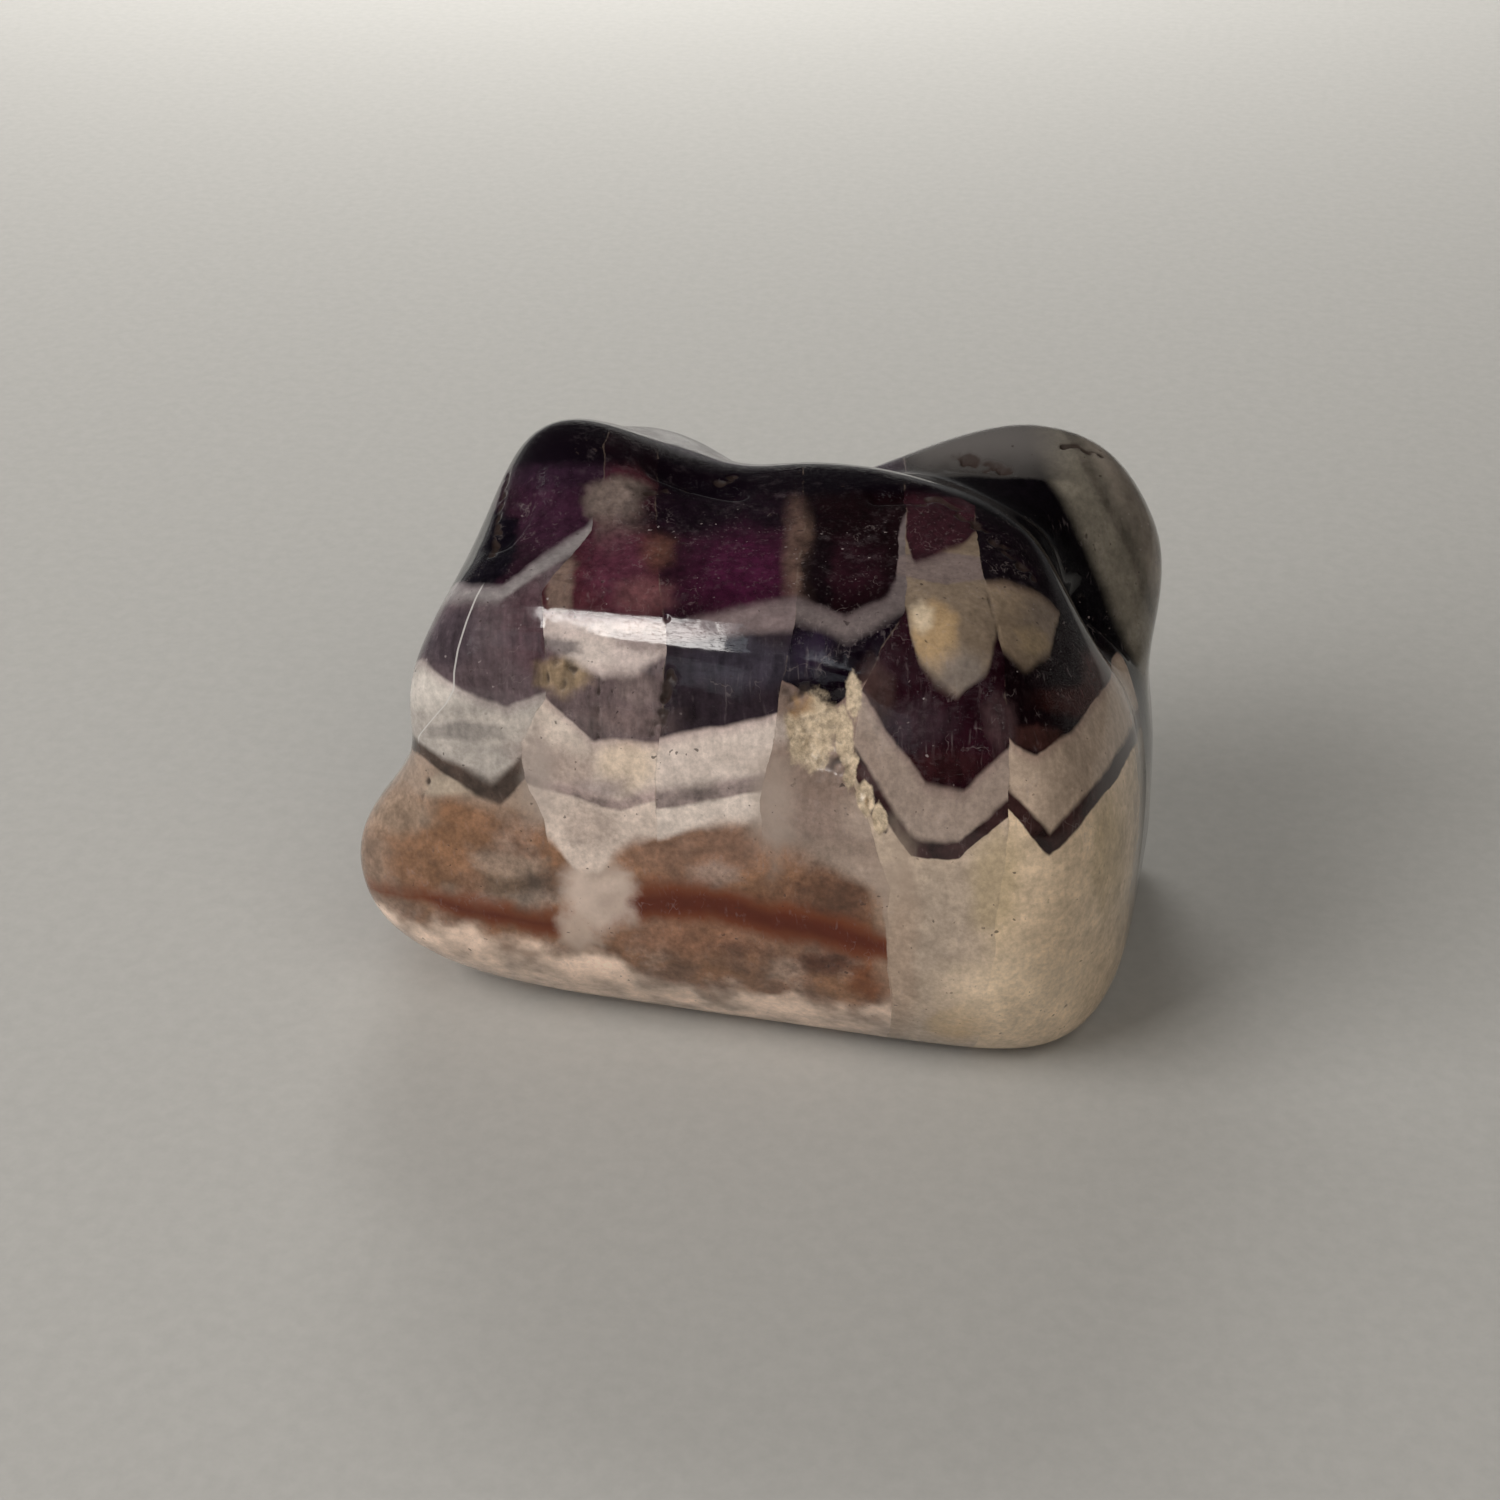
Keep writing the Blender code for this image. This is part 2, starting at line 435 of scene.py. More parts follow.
class Finish(Recipe):
    """A recipe with the calls that draw a pattern."""

    def brighter(self, colour, times):
        """The colour with all its parts multiplied by one number."""
        made = self.node("ShaderNodeVectorMath", operation="SCALE")
        self.feed(made.inputs["Vector"], colour)
        self.feed(made.inputs["Scale"], times)
        return made.outputs["Vector"]

    def span(self, value, low, high, to_low=0.0, to_high=1.0, smooth=True):
        """Carries value from low..high to to_low..to_high and holds it there outside."""
        kind = "SMOOTHSTEP" if smooth else "LINEAR"
        made = self.node("ShaderNodeMapRange", interpolation_type=kind)
        for socket, number in zip(made.inputs, (value, low, high, to_low, to_high)):
            self.feed(socket, number)
        return made.outputs[0]

    def layer(self, below, above, share, blend="MIX"):
        """The colour above laid over the colour below by share."""
        made = self.node("ShaderNodeMix", data_type="RGBA", blend_type=blend, clamp_factor=True)
        self.feed(made.inputs[0], share)
        self.feed(made.inputs[6], below)
        self.feed(made.inputs[7], above)
        return made.outputs[2]

    def cloud(self, place, spacing, detail=3.0, roughness=0.55, colour=False):
        """Smooth noise whose lumps are about spacing millimetres apart, from 0 to 1."""
        made = self.node("ShaderNodeTexNoise", noise_dimensions="3D")
        self.feed(made.inputs["Vector"], place)
        made.inputs["Scale"].default_value = 1.0 / spacing
        made.inputs["Detail"].default_value = detail
        made.inputs["Roughness"].default_value = roughness
        return made.outputs["Color" if colour else "Fac"]

    def curve(self, value, points, reach, low=LOWEST, high=HIGHEST):
        """A height in mm that follows the given points, as value runs over its reach."""
        made = self.node("ShaderNodeFloatCurve")
        line = made.mapping.curves[0]
        while len(line.points) < len(points):
            line.points.new(0.5, 0.5)
        for point, (place, height) in zip(line.points, points):
            point.location = ((place - reach[0]) / (reach[1] - reach[0]), (height - low) / (high - low))
            point.handle_type = "VECTOR"
        made.mapping.update()
        self.feed(made.inputs["Value"], self.span(value, reach[0], reach[1], smooth=False))
        return self.maths("MULTIPLY_ADD", made.outputs[0], high - low, low)

    def pick(self, number, colours):
        """The colour that belongs to a whole number, with no blending between neighbours."""
        made = self.node("ShaderNodeValToRGB")
        made.color_ramp.interpolation = "CONSTANT"
        stops = made.color_ramp.elements
        while len(stops) < len(colours):
            stops.new(1.0)
        for place, (stop, colour) in enumerate(zip(stops, colours)):
            stop.position = place / len(colours)
            stop.color = (*thousandths(colour), 1.0)
        share = self.maths("MULTIPLY_ADD", number, 1.0 / len(colours), 0.5 / len(colours))
        self.feed(made.inputs[0], share)
        return made.outputs[0]

    def clouded(self, colour, noise_value, darkest, lightest):
        """The colour multiplied by darkest where the noise is low and by lightest where it is high."""
        times = self.span(noise_value, 0.33, 0.67, darkest, lightest, smooth=False)
        return self.brighter(colour, times)


print("a curve's range of heights, mm:", (LOWEST, HIGHEST))

# %% [markdown]
# Directions inside the stone
#
# The crystals grew side by side, all pointing the same way, so the pattern has its own three
# directions: across the crystals, along them, and into the stone. Turning the place of every point
# into these three numbers makes each chevron simple to describe. A pattern laid on the surface like
# wallpaper would stretch over the humps, but a solid one runs through the stone as the real one does.
# Two wobbles, one wide and one fine, bend the places first, because crystals are never quite straight.

# %% Colour coordinates across, along and into the crystals
ACROSS = Vector((0.985, 0.174, 0.0))
ALONG = Vector((-0.092, 0.522, 0.848))
INTO = Vector((-0.147, 0.835, -0.530))

stone_finish = bpy.data.materials.new("polished_amethyst")
gem = Finish(stone_finish)
where = gem.node("ShaderNodeTexCoord").outputs["Object"]
place_mm = gem.vector("MULTIPLY_ADD", where, (1 / MILLIMETRE,) * 3, Vector(SHIFT))
bent = place_mm
for spacing, detail, height in ((4.0, 2.0, 0.9), (0.5, 1.0, 0.10)):
    lumps = gem.cloud(place_mm, spacing, detail=detail, colour=True)
    wobble = gem.vector("SUBTRACT", lumps, (0.5, 0.5, 0.5))
    bent = gem.vector("MULTIPLY_ADD", wobble, (height,) * 3, bent)
across = gem.vector("DOT_PRODUCT", bent, ACROSS)
along = gem.vector("DOT_PRODUCT", bent, ALONG)
into = gem.vector("DOT_PRODUCT", bent, INTO)
pattern_place = gem.vector_of(across, along, into)
print("pattern directions:", [tuple(round(n, 2) for n in d) for d in (ACROSS, ALONG, INTO)])

# %% [markdown]
# Which crystal is it?
#
# Six crystals show on the front, and the joints between them run up the stone at a slight slant. A
# second row lies behind them. Each joint is a curve over the height, and counting the joints that a
# point has passed gives the number of its crystal. The number then picks that crystal's own tints.

# %% Joints of the front row, as (along, across) in millimetres
SPREAD = (-26.0, 26.0)
HEIGHTS = (-12.0, 38.0)
FRONT_JOINTS = (
    ((-12, -12.2), (0, -12.2), (7, -13.0), (9.5, -14.1), (11.7, -14.3), (14, -12.6), (20.3, -12.8),
     (24.1, -10.6), (26.5, -10.0), (38, -9.0)),
    ((-12, -6.3), (8.2, -6.4), (16.8, -5.6), (18.5, -5.8), (26.1, -6.7), (38, -7.0)),
    ((-12, 0.0), (8, -0.4), (9, -0.2), (13.9, 0.7), (17.3, 1.4), (19.7, 1.7), (25.5, 2.2), (38, 2.6)),
    ((-12, 7.4), (3, 7.0), (7, 5.6), (10, 4.6), (14.5, 5.3), (19, 7.8), (22.2, 8.0), (25.8, 8.3),
     (38, 9)),
    ((-12, 12.2), (2.4, 13.1), (11.4, 13.5), (17.3, 13.1), (21.2, 12.6), (38, 12.0)),
)
REAR_JOINTS = (
    ((-12, -7.0), (10, -8.5), (22, -7.5), (38, -9.5)),
    ((-12, 10.5), (12, 8.5), (24, 9.5), (38, 8.0)),
)


def count_joints(joints):
    """How many joints each point has passed on its way across, and how far it is from the nearest."""
    passed, nearest = 0.0, 9.0
    for joint in joints:
        edge = gem.curve(along, joint, HEIGHTS, *SPREAD)
        away = gem.maths("SUBTRACT", across, edge)
        passed = gem.maths("ADD", gem.maths("GREATER_THAN", away, 0.0), passed)
        nearest = gem.maths("MINIMUM", gem.maths("ABSOLUTE", away), nearest)
    return passed, nearest


front_number, to_front_joint = count_joints(FRONT_JOINTS)
rear_number, to_rear_joint = count_joints(REAR_JOINTS)
print("crystals in front:", len(FRONT_JOINTS) + 1, " behind:", len(REAR_JOINTS) + 1)

# %% [markdown]
# Where a crystal's layers end
#
# Each crystal laid down the same layers: purple, a pale band, darker purple, white, a thin dark line
# and white again. In every crystal they bend to a point in their own way. Each end is a curve over the
# width, and because neighbours overlap at a slanted joint, every second crystal is drawn on a layer of
# its own, as in brickwork, and the crystal's number picks the layer.

# %% Layer ends of the front crystals, as (across, along) in millimetres
LAYER_ENDS = {
    "first_purple": (
        ((-26, 23.0), (-21, 21.2), (-17.3, 20.7), (-15.4, 20.6), (-10.5, 24.8), (-9, 26.0)),
        ((-14, 19.2), (-12.5, 18.9), (-9, 18.5), (-4, 18.3)),
        ((-8, 18.0), (-5.6, 18.4), (1.3, 19.8), (3.5, 20.2)),
        ((0, 20.6), (1.9, 19.8), (4.4, 18.8), (6.8, 19.9), (7.4, 21.0), (7.8, 24.6), (8.8, 26.0)),
        ((7.0, 25.0), (8.1, 24.0), (8.5, 21.9), (11.6, 23.2), (12.6, 24.2), (14.5, 26.0)),
        ((11, 21.0), (13.5, 20.9), (15.5, 20.4), (17, 19.3), (19, 18.0), (26, 16.0)),
    ),
    "pale_band": (
        ((-26, 20.6), (-20, 19.5), (-17.5, 19.7), (-15.4, 19.6), (-12.1, 22.2), (-9, 24.8)),
        ((-14, 17.6), (-11.5, 16.4), (-9.5, 15.2), (-7.5, 15.4), (-5.8, 16.6), (-4, 17.0)),
        ((-8, 17.0), (-5.6, 17.3), (1.3, 17.9), (3.5, 18.1)),
        ((0, 19.4), (1.6, 18.5), (4.6, 17.3), (7.8, 19.0), (10, 20.0)),
        ((5, 19.6), (7.8, 19.6), (8.4, 16.2), (9.2, 15.0), (10.5, 14.2), (12.2, 15.6), (12.9, 17.5),
         (14.5, 19)),
        ((12, 18.8), (13.1, 16.8), (14.5, 15.5), (16.2, 16.6), (17, 18.8), (17.6, 21), (18.5, 24),
         (26, 30)),
    ),
    "second_purple": (
        ((-26, 18.5), (-19.9, 16.2), (-17.7, 14.6), (-15.1, 13.6), (-13.6, 14.0), (-11, 14.9)),
        ((-14, 15.4), (-12.5, 14.0), (-10, 11.6), (-9, 11.7), (-5.8, 11.5), (-4, 11.5)),
        ((-8, 11.4), (-6.1, 11.8), (1.3, 13.3), (3.5, 13.7)),
        ((0, 15.6), (1.8, 14.5), (3.7, 13.5), (5.5, 15.0), (8, 17.1)),
        ((4, 16.4), (5.3, 14.5), (6.8, 12.0), (8.8, 9.2), (11, 8.9), (13.5, 11.2), (15, 12.6)),
        ((12, 12.8), (13.8, 11.4), (15, 10.7), (18.2, 13.1), (20.3, 15.2), (22, 17.5), (26, 23)),
    ),
    "white": (
        ((-26, 15.0), (-21, 12.0), (-19.2, 10.6), (-17.4, 9.9), (-16, 9.4), (-14.3, 10.8),
         (-12.5, 12.8)),
        ((-14, 9.8), (-10.5, 8.9), (-8.5, 8.3), (-6.7, 8.8), (-4, 9.0)),
        ((-8, 8.5), (-6.6, 8.7), (-0.5, 9.7), (3, 10.3)),
        ((0, 6.0), (9, 6.0)),
        ((3, 13.8), (4.6, 11.6), (6, 9.5), (7.9, 6.5), (8.4, 6.1), (10.8, 5.9), (13.5, 8.5), (15, 10)),
        ((12, 10.6), (13.6, 8.8), (15.8, 6.5), (18.6, 9.2), (22.4, 13.0), (26, 16.8)),
    ),
    "thin_line": (
        ((-26, 14.0), (-21, 11.2), (-19.2, 9.6), (-17.4, 8.6), (-15.6, 7.9), (-14.3, 9.3),
         (-12.5, 11.4)),
        ((-14, 9.2), (-10.5, 8.2), (-8.5, 7.6), (-6.7, 8.1), (-4, 8.3)),
        ((-8, 7.5), (-6.6, 7.7), (-0.5, 8.6), (3, 9.2)),
        ((0, 6.0), (9, 6.0)),
        ((3, 12.3), (4.6, 10.0), (6, 8.0), (7.9, 5.2), (10.8, 4.9), (13.5, 7.5), (15, 8.9)),
        ((12, 9.3), (13.6, 7.5), (15.8, 5.1), (18.6, 8.0), (22.4, 11.7), (26, 15.4)),
    ),
    "lower_white": (
        ((-26, 10.5), (-22.7, 8.8), (-19.3, 8.2), (-14.4, 7.6), (-12.1, 6.4), (-10, 4.5)),
        ((-13.8, 8.0), (-13.0, 6.3), (-12.0, 5.2), (-11.2, 3.9), (-9.7, 3.8), (-9.0, 5.0), (-7.9, 5.9),
         (-6.2, 6.1), (-4, 6.4)),
        ((-8, 6.0), (-6.2, 6.0), (-3, 6.9), (-0.4, 7.0), (1.5, 6.1), (3, 5.3)),
        ((-1, 6.8), (1, 5.9), (2.5, 5.0), (4.3, 4.0), (6, 3.2), (6.8, 2.2), (7.1, -3), (8, -14)),
        ((6.9, 2.0), (7.2, -3.0), (7.8, -14), (15, -14)),
        ((12, -14), (26, -14)),
    ),
}
print("layers in a crystal:", list(LAYER_ENDS))

# %% Layer ends of the second row
REAR_ENDS = {
    "outer_white": ((-26, 44), (8, 44), (9, 43), (15, 41.2), (21.6, 27.2), (26, 17.9)),
    "first_purple": (
        (-26, 29), (-16, 24), (-8.4, 27.5), (-8.1, 27.0), (0, 23.6), (8.8, 27.5), (9.1, 41),
        (15, 39.7), (20.9, 27.2), (26, 16.4)),
    "pale_band": (
        (-26, 27), (-16, 22), (-8.4, 25.5), (-8.1, 25.2), (0, 21.8), (8.8, 25.5), (9.1, 40),
        (12, 39), (18.2, 27.2), (21.4, 20.4), (26, 11)),
    "second_purple": (
        (-26, 22), (-17, 17), (-8.4, 20.5), (-8.1, 19.5), (0.5, 16.0), (8.8, 19.5), (9.1, 20.0),
        (15, 15.0), (26, 9)),
    "white": (
        (-26, 17.6), (-16, 13.0), (-8.4, 16), (-8.1, 15.2), (0.5, 12.0), (8.8, 15.4), (9.1, 15.0),
        (15, 10.8), (26, 6)),
    "thin_line": (
        (-26, 16.6), (-16, 12.0), (-8.4, 15), (-8.1, 14.2), (0.5, 11.1), (8.8, 14.4), (9.1, 14.0),
        (15, 9.9), (26, 5)),
    "lower_white": ((-26, 10.5), (-14, 8.5), (-2, 7.0), (6, 3.0), (7.5, -14), (26, -14)),
}


def brickwork(crystals, odd):
    """One layer end over the whole front: even crystals on one curve, odd ones on another."""
    even_points = [point for crystal in crystals[0::2] for point in crystal]
    odd_points = [point for crystal in crystals[1::2] for point in crystal]
    even_end = gem.curve(across, even_points, SPREAD)
    odd_end = gem.curve(across, odd_points, SPREAD)
    return gem.between(even_end, odd_end, odd)


print("curves for the second row:", len(REAR_ENDS))

# %% Join the two rows at a wavy boundary
ROW_BOUNDARY = -9.4
RIDGE_DEPTHS = (-20.0, 0.0)
RIDGE_BOUNDARY = (
    (-26, -9.0), (4, -9.4), (8.2, -10.0), (9.9, -11.2), (11.6, -13.2), (13.8, -14.5), (16, -15.0),
    (17.5, -14.5), (19, -12.5), (21, -9.6), (26, -9.4))
odd = gem.maths("MODULO", front_number, 2.0)
ridge_edge = gem.curve(across, RIDGE_BOUNDARY, SPREAD, *RIDGE_DEPTHS)
row_edge = gem.between(ROW_BOUNDARY, ridge_edge, gem.span(along, 16.5, 18.0))
behind = gem.maths("GREATER_THAN", into, row_edge)
ends = {}
for name, crystals in LAYER_ENDS.items():
    front_end = brickwork(crystals, odd)
    rear_end = gem.curve(across, REAR_ENDS[name], SPREAD)
    ends[name] = gem.between(front_end, rear_end, behind)
outer_end = gem.curve(across, REAR_ENDS["outer_white"], SPREAD)
ends["outer_white"] = gem.between(HIGHEST, outer_end, behind)
rear_shifted = gem.maths("ADD", rear_number, len(FRONT_JOINTS) + 1.0)
number = gem.between(front_number, rear_shifted, behind)
to_joint = gem.between(to_front_joint, to_rear_joint, behind)
print("layer ends joined:", len(ends))

# %% [markdown]
# The tints of each layer
#
# Amethyst is never one purple. The left crystal is plum, the next one is pink where light gets in, the
# middle one is blue-grey below and magenta above, and the right ones are nearly black or maroon. Each
# layer has one list of tints, one for every crystal, and noise makes each of them cloudy.

# %% Tints in thousandths, for six crystals from left to right and three behind
FIRST_PURPLES = (
    (21, 8, 14), (56, 15, 20), (22, 6, 12), (7, 2, 3),
    (30, 9, 13), (5, 2, 4), (26, 11, 24), (20, 8, 20),
    (100, 88, 70),
)
PALE_BANDS = (
    (245, 217, 212), (560, 460, 420), (195, 146, 144), (143, 114, 110),
    (205, 152, 108), (225, 165, 113), (220, 180, 160), (220, 180, 160),
    (185, 162, 128),
)
SECOND_PURPLES = (
    (92, 65, 70), (112, 80, 80), (25, 17, 22), (4, 1, 4),
    (15, 3, 6), (6, 2, 3), (40, 22, 38), (30, 15, 32),
    (3, 2, 3),
)
WHITES = (
    (425, 378, 338), (600, 495, 420), (640, 535, 470), (262, 187, 152),
    (325, 250, 206), (450, 342, 262), (400, 330, 290), (420, 350, 310),
    (280, 245, 200),
)
THIN_LINES = (
    (58, 37, 28), (300, 225, 205), (215, 165, 152), (280, 205, 168),
    (36, 16, 16), (36, 16, 15), (60, 36, 44), (50, 28, 36),
    (60, 42, 42),
)
LOWER_WHITES = (
    (320, 232, 175), (620, 505, 430), (650, 550, 480), (300, 220, 175),
    (500, 388, 296), (700, 535, 370), (400, 330, 270), (440, 360, 290),
    (400, 320, 240),
)
print("tints per layer:", len(WHITES))

# %% Clouds and growth streaks that all layers share
cloud_wide = gem.cloud(bent, 5.0, detail=3.0)
cloud_mid = gem.cloud(bent, 1.7, detail=4.0, roughness=0.62)
cloud_fine = gem.cloud(place_mm, 0.40, detail=3.0, roughness=0.7)
grown = gem.vector("MULTIPLY", pattern_place, (1.0, 0.16, 1.0))
growth_streaks = gem.between(gem.cloud(grown, 0.55, detail=3.0), cloud_mid, 0.5)
SOFTNESS_BEHIND = 1.3
softness = gem.span(cloud_wide, 0.35, 0.65, 0.55, 2.2, smooth=False)


def past(name, soft):
    """1 above a layer's end and 0 below it, blended over soft millimetres, softer here than there."""
    height = gem.maths("SUBTRACT", along, ends[name])
    blend = gem.between(gem.product(softness, soft), SOFTNESS_BEHIND, behind)
    return gem.span(gem.maths("DIVIDE", height, blend), -1.0, 1.0)


print("shared noises: wide, middle, fine and growth streaks")

# %% [markdown]
# Patches inside a layer
#
# Iron, tiny bubbles and mended cracks colour parts of a layer: a plum cap on the left, a gold heart in
# the right crystal, a brown cloud in the foot. Each patch is a six-sided lump in the pattern's own
# directions, because zones in quartz have straight sides, and its rim is soft and ragged. It is laid
# on its layer before the layers are stacked, so it never runs over the sharp end of that layer.

